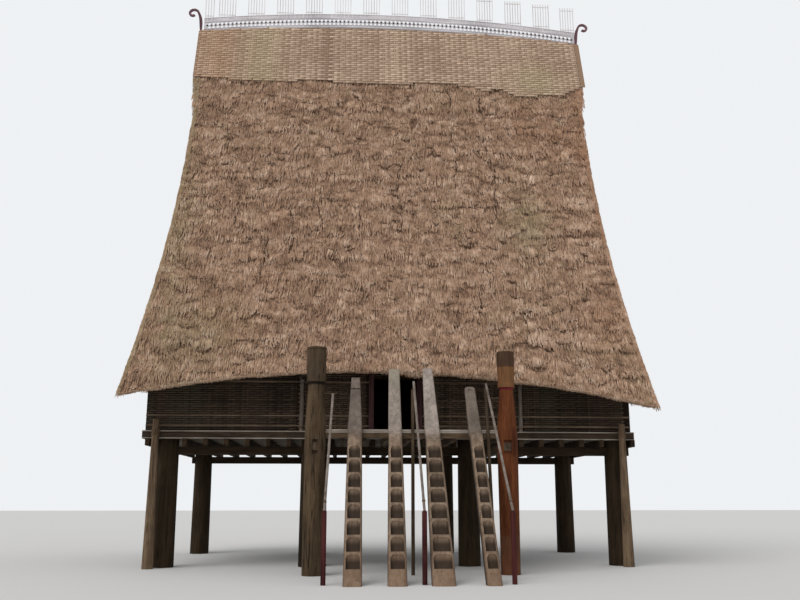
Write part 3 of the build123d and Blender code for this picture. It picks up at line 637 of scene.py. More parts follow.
def strawFinish():
    graph = newGraph("thatchGrass")
    spot = graph.place()
    broad = graph.noise(spot, 0.42, 3, 0.6)
    patches = graph.noise(spot, 1.5, 3, 0.6) - 0.5
    mottle = graph.noise(spot, 3.4, 4, 0.6) - 0.5
    strokes = graph.noise(graph.place(scale=(1, 1, 0.14)), 14, 3, 0.65) - 0.5
    shade, along, warm, green = readShade(graph)
    # the along term darkens each straw towards its root: painted shade under the tuft above
    tone = 0.40 * shade + 0.20 * along + 0.95 * mottle + 0.32 * patches + 0.45 * strokes
    colour = graph.tint(graph.ease(tone, -0.02, 0.34), thatch["dark"], thatch["mid"])
    colour = graph.tint(graph.ease(tone, 0.30, 0.66), colour, thatch["light"])
    warmth = warm * 0.7 + graph.ease(broad, 0.56, 0.72) * 0.22
    age = green * 0.7 + graph.ease(broad, 0.44, 0.30) * 0.18
    colour = graph.tint(age, graph.tint(warmth, colour, thatch["warm"]), thatch["green"])
    return graph.finish(colour, 0.92, 0.06)


def stalk():  # one straw: pointed at its root, cut blunt at z = 1
    mesh = bmesh.new()
    bmesh.ops.create_cone(mesh, cap_ends=True, segments=3, radius1=0, radius2=1, depth=1)
    bmesh.ops.translate(mesh, verts=mesh.verts, vec=(0, 0, 0.5))
    return templateOf(mesh)


def tufts(rng, spots, perTuft):  # the straws of a tuft fan out and are shorter at its sides
    many = len(spots[0])
    count = many * perTuft
    pick = np.repeat(np.arange(many), perTuft)
    places, facing, down, sideways, shades, inset, left, right, drop = [values[pick] for values in spots]
    fan = rng.uniform(-1, 1, count)
    tilt = rng.normal(0, thatch["lean"], many)[pick] + fan * thatch["fan"]
    tilt = tilt + rng.normal(0, thatch["strawLean"], count)
    length = rng.uniform(*thatch["length"], many)[pick] * (1 - thatch["sidesShorter"] * fan ** 2)
    length = length * rng.uniform(*thatch["lengthSpread"], count)
    length = np.minimum(length, drop + rng.uniform(0.0, thatch["pastEave"], count))
    lift = np.clip(rng.normal(*thatch["lift"], many), *thatch["liftLimits"])[pick]
    lift = lift * rng.uniform(*thatch["liftSpread"], count)
    offset = np.clip(fan * thatch["tuftWidth"] / 2, -left, right)
    tipOffset = np.clip(offset + tilt * length, -left, right)
    roots = places + sideways * offset[:, None] - facing * thatch["sunk"]
    roots = roots - down * rng.uniform(*thatch["rootShift"], count)[:, None]
    alongs = down * length[:, None] + sideways * (tipOffset - offset)[:, None]
    alongs = alongs + facing * (lift + thatch["sunk"] + 0.5 * inset)[:, None]
    half = rng.uniform(*thatch["halfWidth"], count)
    shades[:, 0] = np.clip(shades[:, 0] + rng.normal(0, thatch["strawTone"], count), 0, 1)
    return roots, sideways * half[:, None], facing * (half * thatch["flatness"])[:, None], alongs, shades


def courseSpots(rng, low, high, reach, rows):  # tuft places row by row; reach gives a row's ends
    spots = []
    rise = roof["courseRise"]
    start = int(round((low - roof["courseBase"]) / rise)) * rows
    end = int(math.ceil((high - roof["courseBase"]) / rise)) * rows
    for row in range(start, end):
        z = roof["courseBase"] + rise * (row // rows + (row % rows + 0.7) / rows)
        left, right = reach(z)
        count = max(int((right - left) / thatch["tuftPitch"]), 1)
        across = np.linspace(left + 0.06, right - 0.06, count) + rng.normal(0, thatch["jitter"], count)
        zs = z + rng.normal(0, thatch["jitter"], count) + thatch["footWave"] * waver(across, row // 3)
        spots.append((across, zs))
    return np.concatenate(spots, axis=1)


def tuftShades(rng, x, z):
    shades = np.zeros((len(x), 3))
    shades[:, 0] = 0.50 + 0.05 * waver(x + z, 5) + rng.normal(0, thatch["tone"], len(x))
    return shades


def onSlope(x, z, side, inset):  # points of one slope with their facing and downward directions
    lean = leanOf(slopeOut, z) + np.where(z < roof["matFoot"], roof["lapLean"], 0)
    return vectors(houseX + x, houseY + side * slopeOut(z, inset), z), *faceAxes(lean, side, 1)


def vergeFlare(z):  # near its top the verge widens to the edge of the mat
    return 0.16 * np.clip((z - 14.2) / 1.2, 0, 1)


def slopeTufts(rng, side, low, high):  # tufts over one slope, between two heights
    rows = thatch["rowsPerCourse"] if side < 0 else thatch["backRows"]
    xs, zs = courseSpots(rng, low, high, lambda z: (endX(z, -1), endX(z, 1)), rows)
    keep = (zs > eaveZ(xs) + thatch["overEave"]) & (zs < roof["matFoot"] + thatch["underMat"])
    keep &= (xs > endX(zs, -1) + 0.02) & (xs < endX(zs, 1) - 0.02)
    xs, zs = xs[keep], zs[keep]
    inset = courseInset(zs)
    sideways = vectors(np.ones(len(xs)), 0, 0)
    shades = tuftShades(rng, xs, zs)
    if side < 0:
        stain(xs, zs, shades, thatch["patches"])
    room = [end * (endX(zs, end) - xs) + 0.01 + vergeFlare(zs) for end in (-1, 1)]
    spots = *onSlope(xs, zs, side, inset), sideways, shades, inset, *room, zs - eaveZ(xs)
    return tufts(rng, spots, thatch["strawsPerTuft"] if side < 0 else thatch["backStraws"])


def endTufts(rng, side):  # tufts over one narrow roof end
    low, high = roof["courseBase"], roof["matFoot"] + 1.2
    ys, zs = courseSpots(rng, low, high, lambda z: (-slopeOut(z), slopeOut(z)), thatch["backRows"])
    keep = (zs > endEaveZ(ys, side) + thatch["overEave"]) & (zs < ridgeZ(side * 6.4) - 0.3)
    keep &= np.abs(ys) < slopeOut(zs) - 0.05
    ys, zs = ys[keep], zs[keep]
    inset = np.where(np.abs(ys) < slopeOut(zs) - roof["thick"], courseInset(zs), 0)
    places = vectors(houseX + endX(zs, side, inset), houseY + ys, zs)
    lean = side * leanOf(endX, zs, side) + np.where(inset > 0, roof["lapLean"], 0)
    sideways = vectors(0, np.ones(len(ys)), 0)
    room = ys + slopeOut(zs) - 0.02, slopeOut(zs) - ys - 0.02
    shades = tuftShades(rng, ys, zs)
    spots = places, *faceAxes(lean, side, 0), sideways, shades, inset, *room, zs - endEaveZ(ys, side)
    return tufts(rng, spots, thatch["backStraws"])


shadowMarks = {
    "shadowArcs": 330,  # short arcs of dark strokes, painted shadow under the tufts
    "straws": 15,
    "aboveFoot": 0.9,
    "belowMat": 0.2,
    "fromVerge": 0.4,
    "half": (0.10, 0.34),
    "sag": (-0.05, 0.11),
    "tilt": (-0.06, 0.06),
    "length": (0.06, 0.13),
    "lengthSpread": (0.7, 1.2),
    "seamPitch": 0.07,
    "seamLength": (0.10, 0.20),
    "halfWidth": (0.011, 0.018),
    "out": 0.030,
    # dark strands painted as the shade in the gaps between bundles: place across, lower and upper end
    "seams": [
        (-4.7, 9.7, 10.8), (-3.8, 8.0, 9.3), (-3.05, 8.5, 10.5), (-2.2, 9.7, 11.3), (-1.0, 9.5, 10.3),
        (0.17, 9.6, 12.5), (1.9, 14.1, 15.4), (1.95, 11.3, 13.4), (2.9, 13.9, 15.4), (3.0, 12.0, 13.9),
        (3.15, 10.1, 12.0), (2.35, 6.4, 7.8), (3.6, 6.1, 7.0), (4.95, 6.2, 7.7),
    ],
}


def paintShadowStrokes(rng):  # painted shadow: dark strokes in short arcs under the tufts and down the seams of the front slope
    rows = []
    part = np.linspace(-1, 1, shadowMarks["straws"])
    for hook in range(shadowMarks["shadowArcs"]):
        midZ = rng.uniform(roof["courseBase"] + shadowMarks["aboveFoot"], roof["matFoot"] - shadowMarks["belowMat"])
        midX = rng.uniform(endX(midZ, -1) + shadowMarks["fromVerge"], endX(midZ, 1) - shadowMarks["fromVerge"])
        xs = midX + rng.uniform(*shadowMarks["half"]) * part
        sag, tilt = rng.uniform(*shadowMarks["sag"]), rng.uniform(*shadowMarks["tilt"])
        zs = midZ + sag * part ** 2 + tilt * part + rng.normal(0, 0.01, len(part))
        length = rng.uniform(*shadowMarks["length"]) * (1.15 - part ** 2)
        rows.append((xs, zs, 0.3 * part, length * rng.uniform(*shadowMarks["lengthSpread"], len(part))))
    for place, low, high in shadowMarks["seams"]:
        heights = np.repeat(np.arange(low, high, shadowMarks["seamPitch"]), 2)
        count = len(heights)
        wander = 0.05 * np.sin(3.1 * heights + 7 * place) + 0.03 * np.sin(9.0 * heights)
        xs = place + wander + rng.normal(0, 0.014, count)
        zs = heights + rng.normal(0, 0.02, count)
        rows.append((xs, zs, rng.normal(0, 0.06, count), rng.uniform(*shadowMarks["seamLength"], count)))
    xs, zs, leans, lengths = np.concatenate(rows, axis=1)
    keep = zs - lengths > eaveZ(xs) + 0.05
    xs, zs, leans, lengths = xs[keep], zs[keep], leans[keep], lengths[keep]
    places, facing, down = onSlope(xs, zs, -1, courseInset(zs))
    half = rng.uniform(*shadowMarks["halfWidth"], len(xs))
    sideways = vectors(np.ones(len(xs)), 0, 0)
    alongs = (down + sideways * leans[:, None]) * lengths[:, None]
    thick = facing * (half * 0.5)[:, None]
    return places + facing * shadowMarks["out"], sideways * half[:, None], thick, alongs, np.zeros((len(xs), 3))


fringe = {
    "seed": 17,
    "pitch": 0.017,  # along the eave
    "jitter": 0.006,
    "depths": (0.015, 0.07, 0.14, 0.22, 0.30),
    "length": (0.045, 0.085),
    "halfWidth": (0.008, 0.016),
    "buried": 0.03,
    "hairy": (0.45, 0.45, 0.10),  # middle, half width and extra length of the ragged stretch
    "vergePitch": 0.012,
    "vergeStraws": 4,
    "vergeLength": (0.20, 0.40),
    "vergeWidth": 0.10,
    "vergeTurn": (-0.06, 0.01),
    "vergeLift": (0.018, 0.050),
    "vergeSunk": 0.018,
    "browner": 9.5,  # height over which the right-hand verge is brown
}


def eaveFringe(rng, side):  # cut butts along the eave of one slope, through its thickness
    rows = []
    for depth in fringe["depths"]:
        xs = np.arange(eaveEnds[0] + 0.03, eaveEnds[2] - 0.03, fringe["pitch"])
        rows.append((xs + rng.normal(0, fringe["jitter"], len(xs)), np.full(len(xs), depth)))
    xs, depths = np.concatenate(rows, axis=1)
    count = len(xs)
    zs = eaveZ(xs) + 0.02
    middle, half, extra = fringe["hairy"]
    ragged = np.exp(-((xs - middle) / half) ** 2) * (side < 0)
    length = rng.uniform(*fringe["length"], count) * (0.9 + 0.25 * waver(xs, 3))
    length = length + ragged * rng.uniform(0, extra, count)
    roots = vectors(houseX + xs, houseY + side * slopeOut(zs, depths), zs + fringe["buried"])
    down = vectors(rng.normal(0, 0.08, count), side * 0.30 + rng.normal(0, 0.05, count), -1)
    half = rng.uniform(*fringe["halfWidth"], count)
    shades = plainShades(rng, count, 0.16)
    # cut butts are pale; the deeper a butt sits under the eave, the darker it is painted, as painted shade
    shades[:, 0] = np.clip(shades[:, 0] + 0.35 - 0.9 * depths, 0, 1)
    shades[:, 2] = 0.15
    alongs = down * (length + fringe["buried"])[:, None]
    return roots, vectors(half, 0, 0), vectors(0, side * half * 0.7, 0), alongs, shades


def vergeFringe(rng, side, end):  # bundles laid along one side edge of a slope
    foot = roof["eaves"][0 if end < 0 else 2]
    zs = np.arange(foot + 0.12, roof["matFoot"] + 0.2, fringe["vergePitch"])
    count = fringe["vergeStraws"] * len(zs)
    zs = np.repeat(zs, fringe["vergeStraws"]) + rng.normal(0, 0.02, count)
    flare = vergeFlare(zs)
    xs = endX(zs, end) - end * (rng.uniform(0.012, fringe["vergeWidth"] + flare, count) - flare)
    facing, down = faceAxes(leanOf(slopeOut, zs), side, 1)
    down[:, 0] = leanOf(endX, zs, end) + end * rng.uniform(*fringe["vergeTurn"], count)
    length = np.minimum(rng.uniform(*fringe["vergeLength"], count), zs - foot + rng.uniform(0, 0.04, count))
    roots = vectors(houseX + xs, houseY + side * slopeOut(zs), zs) - facing * fringe["vergeSunk"]
    half = rng.uniform(*thatch["halfWidth"], count)
    alongs = down * length[:, None] + facing * rng.uniform(*fringe["vergeLift"], count)[:, None]
    shades = plainShades(rng, count, 0.18)
    shades[:, 0] += 0.10
    if end > 0:
        shades[:, 1] = np.where(zs > fringe["browner"], 0.75, 0.25)
    else:
        shades[:, 2] = 0.6
    return roots, vectors(half, 0, 0), facing * (half * 0.7)[:, None], alongs, shades


def layThatch():
    rng = np.random.default_rng(thatch["seed"])
    straw = stalk()
    finish = strawFinish()
    dress(solidFinish(), "thatch_front", "thatch_back", "thatch_left", "thatch_right")
    middle = roof["courseBase"] + 5 * roof["courseRise"]
    halves = {"low": (roof["courseBase"], middle), "high": (middle, roof["matFoot"] + 0.2)}
    for face, side in (("front", -1), ("back", 1)):
        for part, (low, high) in halves.items():
            name = f"thatch_straw_{face}_{part}"
            joinCopies(name, straw, slopeTufts(rng, side, low, high), finish)
    for face, side in (("left", -1), ("right", 1)):
        joinCopies("thatch_straw_" + face, straw, endTufts(rng, side), finish)
    butts = paintShadowStrokes(np.random.default_rng(thatch["seed"] + 1))
    joinCopies("thatch_shadow_strokes", straw, butts, shadowStrokeFinish())
    edges = np.random.default_rng(fringe["seed"])
    for face, side in (("front", -1), ("back", 1)):
        joinCopies("eave_fringe_" + face, straw, eaveFringe(edges, side), finish)
        both = [vergeFringe(edges, side, end) for end in (-1, 1)]
        joined = [np.concatenate(pair) for pair in zip(*both)]
        joinCopies("verge_fringe_" + face, straw, joined, finish)


layThatch()


# Woven mat over the ridge and woven walls

def weaveCell():  # one strip's hump where it passes over another
    mesh = bmesh.new()
    bmesh.ops.create_cone(mesh, cap_ends=True, segments=3, radius1=0.577, radius2=0.577, depth=1)
    lengthwise = [edge for edge in mesh.edges if abs(edge.verts[0].co.z - edge.verts[1].co.z) > 0.5]
    bmesh.ops.subdivide_edges(mesh, edges=lengthwise, cuts=1)
    ends = [vert for vert in mesh.verts if abs(vert.co.z) > 0.4]
    bmesh.ops.translate(mesh, verts=ends, vec=(0, -0.9, 0))
    return templateOf(mesh)


def wovenFinish(name, look, roughness, firstColumn=None):
    graph = newGraph(name)
    shade, along, warm, green = readShade(graph)
    spot = graph.place()
    broad = graph.noise(spot, 0.8, 3, 0.6)
    fibre = graph.noise(spot, 60, 2, 0.6)
    streaks = graph.noise(graph.place(scale=(1, 1, 0.02)), 11, 2, 0.6) - 0.5
    tone = graph.ease(0.6 * shade + 0.35 * broad + 0.15 * fibre + look["streaks"] * streaks, 0.25, 0.85)
    colour = graph.tint(tone, look["dark"], look["light"])
    if firstColumn is not None:  # shade beside each upright strip
        off = graph.maths("PINGPONG", graph.axis(spot, "X") - firstColumn, look["pitchAcross"] / 2)
        colour = graph.tint(graph.ease(off, 0.052, 0.022) * 0.42, colour, look["dark"])
    colour = graph.tint(warm, colour, look["warm"])
    colour = graph.tint(green, colour, look["green"])
    return graph.finish(colour, roughness, 0.25, graph.bump(fibre, 0.3, 0.004))


def backingShadeFinish(name, look):  # the solid behind the weave, seen in its gaps, coloured dark as painted shade behind the strips
    graph = newGraph(name)
    fibre = graph.noise(graph.place(scale=(1, 1, 4)), 24, 3, 0.6)
    colour = graph.tint(graph.ease(fibre, 0.3, 0.7), rgba(look["dark"], 0.75), look["dark"])
    return graph.finish(colour, 0.9, 0.12, graph.bump(fibre, 0.5, 0.006))


def weave(rng, us, vs, keep, toPlace, paint, look):
    # toPlace turns flat places into points, with the directions out, across and up
    gridU, gridV = np.meshgrid(us, vs)
    first, last = us[0] - look["margin"], us[-1] + look["margin"]
    odd = np.add.outer(np.arange(len(vs)), np.arange(len(us))) % 2 == 1
    rowTone = np.repeat(rng.normal(0.5, look["rowSpread"], len(vs)), len(us))
    columnTone = np.tile(rng.normal(0.5, 0.16, len(us)), len(vs))
    kept = keep(gridU, gridV).ravel()
    grids = (gridU, gridV, odd, rowTone, columnTone)
    us, vs, odd, rowTone, columnTone = [grid.ravel()[kept] for grid in grids]
    reach = np.where(odd, 0.0, 0.95 * look["pitchAcross"])
    left, right = np.maximum(us - reach, first), np.minimum(us + reach, last)
    points, facing, across, up = toPlace((left + right) / 2, vs)
    wide = look["pitchAcross"] * look["shareAcross"]
    tall = look["pitchUp"] * look["shareUp"]
    sides = np.where(odd[:, None], across * wide, up * tall)
    alongs = np.where(odd[:, None], up * look["pitchUp"] * 1.9, across * (right - left)[:, None])
    shades = np.zeros((len(us), 3))
    shades[:, 0] = np.where(odd, columnTone - look["uprightDarker"], rowTone + 0.3 * (columnTone - 0.5))
    shades[:, 0] = np.clip(shades[:, 0] + rng.normal(0, 0.07, len(us)), 0, 1)
    paint(us, vs, shades)
    return points, sides, facing * look["thick"], alongs, shades


matLook = {
    "seed": 23,
    "pitchAcross": 0.19,
    "pitchUp": 0.095,
    "margin": 0.05,
    "edges": (0.06, 0.03),  # from the left and right edge of the solid to the outer columns
    "below": 0.55,
    "out": 0.007,
    "shareAcross": 0.34,
    "shareUp": 1.06,
    "thick": 0.0028,
    "uprightDarker": 0.26,
    "rowSpread": 0.06,
    "streaks": 0.35,
    "dark": (0.320, 0.205, 0.135, 1),
    "light": (0.720, 0.525, 0.380, 1),
    "warm": (0.430, 0.240, 0.130, 1),
    "green": (0.450, 0.370, 0.200, 1),
    "seams": (-2.2, 1.95),
    "patches": [  # as on the thatch
        (-5.9, 0, 0.7, math.inf, 0.5, 0.0), (4.9, 15.6, 0.9, 0.7, 0.0, 0.45), (-4.4, 0, 0.6, math.inf, 0.0, 0.4),
    ],
    "hangMiddle": 4.85,  # the stretch that hangs lowest
    "hangHalf": 1.1,
    "hangDepth": 0.40,
}


def matHang(x, side):  # how far the mat hangs below the foot of its solid
    ragged = 0.07 + 0.07 * waver(1.6 * x, 9 + side)
    if side > 0:
        return ragged
    low = matLook["hangDepth"] / (1 + ((x - matLook["hangMiddle"]) / matLook["hangHalf"]) ** 8)
    return ragged + low + 0.18 * np.exp(-((x - 3.1) / 0.35) ** 2)


def paintMat(us, vs, shades):
    for seam in matLook["seams"]:
        shades[:, 0] -= 0.45 * (np.abs(us - seam) < 0.06)
    stain(us, vs, shades, matLook["patches"])


def coverRidge():
    rng = np.random.default_rng(matLook["seed"])
    half = roof["matHalf"]
    fromLeft, fromRight = matLook["edges"]
    finish = wovenFinish("ridgeMat", matLook, 0.75, houseX - half + fromLeft)
    dress(backingShadeFinish("ridgeMatBacking", matLook), "ridge_net")
    us = np.arange(-half + fromLeft, half - fromRight, matLook["pitchAcross"])
    vs = np.arange(roof["matFoot"] - matLook["below"], roof["top"], matLook["pitchUp"])
    for name, side in (("ridge_mat_front", -1), ("ridge_mat_back", 1)):

        def keep(x, z):
            return (z > roof["matFoot"] - matHang(x, side)) & (z < ridgeZ(x) + 0.02)

        def onMat(x, z):
            facing, down = faceAxes(leanOf(slopeOut, z), side, 1)
            points = vectors(houseX + x, houseY + side * (slopeOut(z) + roof["matFace"]), z)
            return points + facing * matLook["out"], facing, vectors(np.ones(len(x)), 0, 0), -down

        strips = weave(rng, us, vs, keep, onMat, paintMat, matLook)
        joinCopies(name, weaveCell(), strips, finish)


coverRidge()


wallLook = {
    "seed": 31,
    "pitchAcross": 0.19,
    "pitchUp": 0.062,
    "margin": 0.05,
    "edges": (0.06, 0.02),
    "foot": 0.05,
    "head": 0.03,
    "out": 0.007,
    "rowSpread": 0.13,
    "streaks": 0.5,
    "shareAcross": 0.14,
    "shareUp": 0.86,
    "thick": 0.007,
    "uprightDarker": 0.10,
    "panel": 0.55,  # length of weaving of one age
    "panelTone": 0.14,
    "dark": (0.026, 0.017, 0.011, 1),
    "light": (0.110, 0.074, 0.048, 1),
    "warm": (0.100, 0.056, 0.044, 1),
    "green": (0.082, 0.080, 0.048, 1),
}
panelLook = dict(
    wallLook, pitchAcross=0.12, pitchUp=0.058, shareAcross=0.24,
    dark=(0.038, 0.025, 0.017, 1), light=(0.190, 0.128, 0.086, 1),
)
walls = {  # axis that the wall runs along and the side that it faces
    "front_wall_left": (0, -1), "front_wall_right": (0, -1), "entrance_panel_left": (0, -1),
    "entrance_panel_right": (0, -1), "wall_over_door": (0, -1), "back_wall": (0, 1),
    "left_wall": (1, -1), "right_wall": (1, 1),
}


def wallSpan(node):  # axis, side, face, ends and heights of a wall
    runs, side = walls[node]
    low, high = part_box(node)
    face = (low, high)[side > 0][1 - runs]
    return runs, side, face, (low[runs], high[runs]), (low.z, high.z)


def onAxes(runs, along, out, z):  # a place along and out of a wall, as x, y and z
    return (along, out, z) if runs == 0 else (out, along, z)


def paintWall(us, vs, shades):  # each length of weaving has an age of its own
    panel = np.floor((us + 0.3 * np.sin(us)) / wallLook["panel"])
    own = np.sin(panel * 12.9898) * 43758.5453  # its fraction is as good as random
    own = own - np.floor(own)
    shades[:, 0] += wallLook["panelTone"] * (own - 0.5)
    shades[:, 1] = np.where(own > 0.72, 0.45, 0.0)
    shades[:, 2] = np.where(own < 0.25, 0.40, 0.0)


def weaveWalls():
    rng = np.random.default_rng(wallLook["seed"])
    finish = wovenFinish("wallWeave", wallLook, 0.8)
    panelFinish = wovenFinish("panelWeave", panelLook, 0.8)
    dress(backingShadeFinish("wallBacking", wallLook), *walls)
    axes = np.eye(3)
    for node in walls:
        isPanel = node.startswith("entrance") or node == "wall_over_door"
        look = panelLook if isPanel else wallLook
        runs, side, face, (start, end), (low, high) = wallSpan(node)
        us = np.arange(start + look["edges"][0], end - look["edges"][1], look["pitchAcross"])
        vs = np.arange(low + look["foot"], high - look["head"], look["pitchUp"])

        def onWall(u, z):
            points = vectors(*onAxes(runs, u, face + side * look["out"], z))
            directions = (side * axes[1 - runs], axes[runs], axes[2])
            return points, *[np.tile(direction, (len(u), 1)) for direction in directions]

        strips = weave(rng, us, vs, lambda u, z: np.ones(u.shape, bool), onWall, paintWall, look)
        joinCopies("weave_" + node, weaveCell(), strips, panelFinish if isPanel else finish)


weaveWalls()


# Rods and boards added to one bmesh

def addRod(mesh, start, end, radius, segments=6):
    line = Vector(end) - Vector(start)
    turn = line.to_track_quat("Z", "Y").to_matrix().to_4x4()
    place = Matrix.Translation((Vector(start) + Vector(end)) / 2) @ turn
    bmesh.ops.create_cone(
        mesh, cap_ends=True, segments=segments, radius1=radius, radius2=radius, depth=line.length,
        matrix=place,
    )


def addBoard(mesh, first, last):  # a box between two opposite corners
    low = Vector([min(pair) for pair in zip(first, last)])
    high = Vector([max(pair) for pair in zip(first, last)])
    place = Matrix.Translation((low + high) / 2) @ Matrix.Diagonal((*(high - low), 1))
    bmesh.ops.create_cube(mesh, size=1, matrix=place)


def makePiece(name, mesh, finishName, edge=0.0):
    if edge:
        bmesh.ops.bevel(
            mesh, geom=mesh.edges[:], offset=edge, offset_type="OFFSET", affect="EDGES", segments=1,
            profile=0.5, material=-1, clamp_overlap=True,
        )
    data = bpy.data.meshes.new(name)
    mesh.to_mesh(data)
    mesh.free()
    settle(name, data, finishes[finishName])


# Crest: rods along the ridge, ribs on the strips and pegs between the diamonds

crest = {
    "left": -6.44,
    "right": 6.50,
    "foot": 0.044,  # of the band, over the ridge
    "lowerStrip": 0.11,
    "openwork": 0.26,
    "upperStrip": 0.16,
    "halfThick": 0.015,
    "pitch": 0.143,
    "rodRadius": 0.014,
    "capRadius": 0.028,
    "capOut": 0.045,
    "capRise": 0.006,
    "ribWide": 0.024,
    "ribThick": 0.007,
    "ribFoot": 0.012,
    "ribGap": 0.02,  # between a rib and the openwork
    "ribHead": 0.03,
    "pegRadius": 0.033,
    "pegOut": 0.006,
    "cuts": 30,
}


def ridgeRod(mesh, lift, out, radius):  # a rod bent along the arched ridge
    part = bmesh.new()
    addRod(part, (crest["left"], 0, 0), (crest["right"], 0, 0), radius, 8)
    lengthwise = [edge for edge in part.edges if abs(edge.verts[0].co.x - edge.verts[1].co.x) > 1]
    bmesh.ops.subdivide_edges(part, edges=lengthwise, cuts=crest["cuts"])
    for vert in part.verts:
        vert.co += Vector((houseX, houseY + out, ridgeZ(vert.co.x) + lift))
    data = bpy.data.meshes.new("rod")
    part.to_mesh(data)
    part.free()
    mesh.from_mesh(data)
    bpy.data.meshes.remove(data)


def trimCrest():
    lower, openwork, upper = crest["lowerStrip"], crest["openwork"], crest["upperStrip"]
    thick, gap = crest["halfThick"], crest["ribGap"]
    rods, caps, ribs, pegs = [bmesh.new() for part in range(4)]
    for side in (-1, 1):
        for lift in (lower, lower + openwork, lower + openwork + upper - 0.01):
            ridgeRod(rods, crest["foot"] + lift, side * thick, crest["rodRadius"])
        ridgeRod(caps, crest["foot"] + crest["capRise"], side * crest["capOut"], crest["capRadius"])
    count = int((crest["right"] - crest["left"] - 0.1) / crest["pitch"])
    first = (crest["left"] + crest["right"] - (count - 1) * crest["pitch"]) / 2
    head = lower + openwork + upper - crest["ribHead"]
    spans = ((crest["ribFoot"], lower - gap), (lower + openwork + gap, head))
    half = crest["ribWide"] / 2
    for step in range(count + 1):
        x = first + (step - 0.5) * crest["pitch"]
        base = ridgeZ(x) + crest["foot"]
        z = base + lower + openwork * 0.5
        for side in (-1, 1):
            near, far = houseY + side * thick, houseY + side * (thick + crest["ribThick"])
            for low, high in spans:
                addBoard(ribs, (houseX + x - half, near, base + low), (houseX + x + half, far, base + high))
            out = houseY + side * (thick + crest["pegOut"])
            addRod(pegs, (houseX + x, houseY, z), (houseX + x, out, z), crest["pegRadius"])
    makePiece("crest_rods", rods, "crestBamboo")
    makePiece("ridge_caps", caps, "capGrey")
    makePiece("crest_ribs", ribs, "crestUpright")
    makePiece("crest_pegs", pegs, "crestDot")


trimCrest()


# Battens, slats and bindings

battens = {
    "heights": (3.735, 4.01, 4.95, 5.78),
    "overFoot": 0.02,
    "tall": 0.045,
    "thick": 0.022,
    "edge": 0.006,
    "tiePitch": 0.9,
    "tie": (0.016, 0.060, 0.010),  # wide, tall and standing out
}


def battenWalls():
    along = [bmesh.new(), bmesh.new()]
    ties = bmesh.new()
    half = battens["tall"] / 2
    tieWide, tieTall, tieOut = battens["tie"]
    for node in walls:
        runs, side, face, (start, end), (low, high) = wallSpan(node)
        far, tieFar = face + side * battens["thick"], face + side * (battens["thick"] + tieOut)
        count = int((end - start) / battens["tiePitch"])
        for z in battens["heights"]:
            if z < low + battens["overFoot"]:
                continue
            addBoard(along[runs], onAxes(runs, start, face, z - half), onAxes(runs, end, far, z + half))
            for step in range(count):
                at = start + (step + 0.5) * (end - start) / count
                first = onAxes(runs, at - tieWide / 2, face, z - tieTall / 2)
                addBoard(ties, first, onAxes(runs, at + tieWide / 2, tieFar, z + tieTall / 2))
    makePiece("wall_battens", along[0], "brown", battens["edge"])
    makePiece("end_wall_battens", along[1], "brownY", battens["edge"])
    makePiece("batten_ties", ties, "rattan")


battenWalls()

deckSlats = {
    "seed": 41,
    "first": 0.004,
    "pitch": 0.075,
    "wide": 0.066,
    "thick": 0.014,
    "edge": 0.004,
    "sunk": 0.004,
    "shorter": 0.03,
    "uneven": (-0.003, 0.002),
    "pastPost": 0.02,
}


def slatDeck():  # split bamboo across the porch, ends let into the great posts
    rng = np.random.default_rng(deckSlats["seed"])
    low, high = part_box("porch_deck")
    posts = [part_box("front_post_left"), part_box("front_post_right")]
    mesh = bmesh.new()
    y = low.y + deckSlats["first"]
    while y + deckSlats["wide"] < high.y:
        start = low.x + rng.uniform(0.0, deckSlats["shorter"])
        end = high.x - rng.uniform(0.0, deckSlats["shorter"])
        if y < posts[0][1].y + deckSlats["pastPost"]:
            start, end = [(post[0].x + post[1].x) / 2 for post in posts]
        top = high.z + deckSlats["thick"] + rng.uniform(*deckSlats["uneven"])
        addBoard(mesh, (start, y, high.z - deckSlats["sunk"]), (end, y + deckSlats["wide"], top))
        y += deckSlats["pitch"]
    makePiece("deck_slats", mesh, "pale", deckSlats["edge"])


slatDeck()

edging = {"tall": 0.030, "thick": 0.016, "edge": 0.004, "pastPosts": (0.24, 0.25), "overDeck": 0.01}


def edgeStrips():  # pale strips at the foot and head of the sill and at the edge of the porch
    mesh = bmesh.new()
    sillLow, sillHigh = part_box("sill_planks")
    deckLow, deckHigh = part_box("porch_deck")
    thick, tall = edging["thick"], edging["tall"]
    front, back = sillLow.y - thick, sillHigh.y + thick
    for left, right in ((sillLow.x, deckLow.x), (deckHigh.x, sillHigh.x)):
        addBoard(mesh, (left, front, sillLow.z), (right, sillLow.y, sillLow.z + tall))
        addBoard(mesh, (left, front, sillHigh.z - tall), (right, sillLow.y, sillHigh.z))
    addBoard(mesh, (sillLow.x, sillHigh.y, sillLow.z), (sillHigh.x, back, sillLow.z + tall))
    left, right = deckLow.x + edging["pastPosts"][0], deckHigh.x - edging["pastPosts"][1]
    top = deckHigh.z + edging["overDeck"]
    addBoard(mesh, (left, deckLow.y - thick, deckHigh.z - tall), (right, deckLow.y, top))
    makePiece("edge_strips", mesh, "pale", edging["edge"])


edgeStrips()

roofBattens = {
    "low": 5.55, "overMatFoot": 1.0, "pitch": 0.42, "radius": 0.020, "inset": 0.328, "margin": 0.35,
}


def battenRoof():  # rods under the thatch that its bundles are tied to
    mesh = bmesh.new()
    for side in (-1, 1):
        z = roofBattens["low"]
        while z < roof["matFoot"] + roofBattens["overMatFoot"]:
            y = houseY + side * slopeOut(z, roofBattens["inset"])
            left, right = [houseX + endX(z, end, roofBattens["margin"]) for end in (-1, 1)]
            addRod(mesh, (left, y, z), (right, y, z), roofBattens["radius"])
            z += roofBattens["pitch"]
    makePiece("roof_battens", mesh, "brown")


battenRoof()

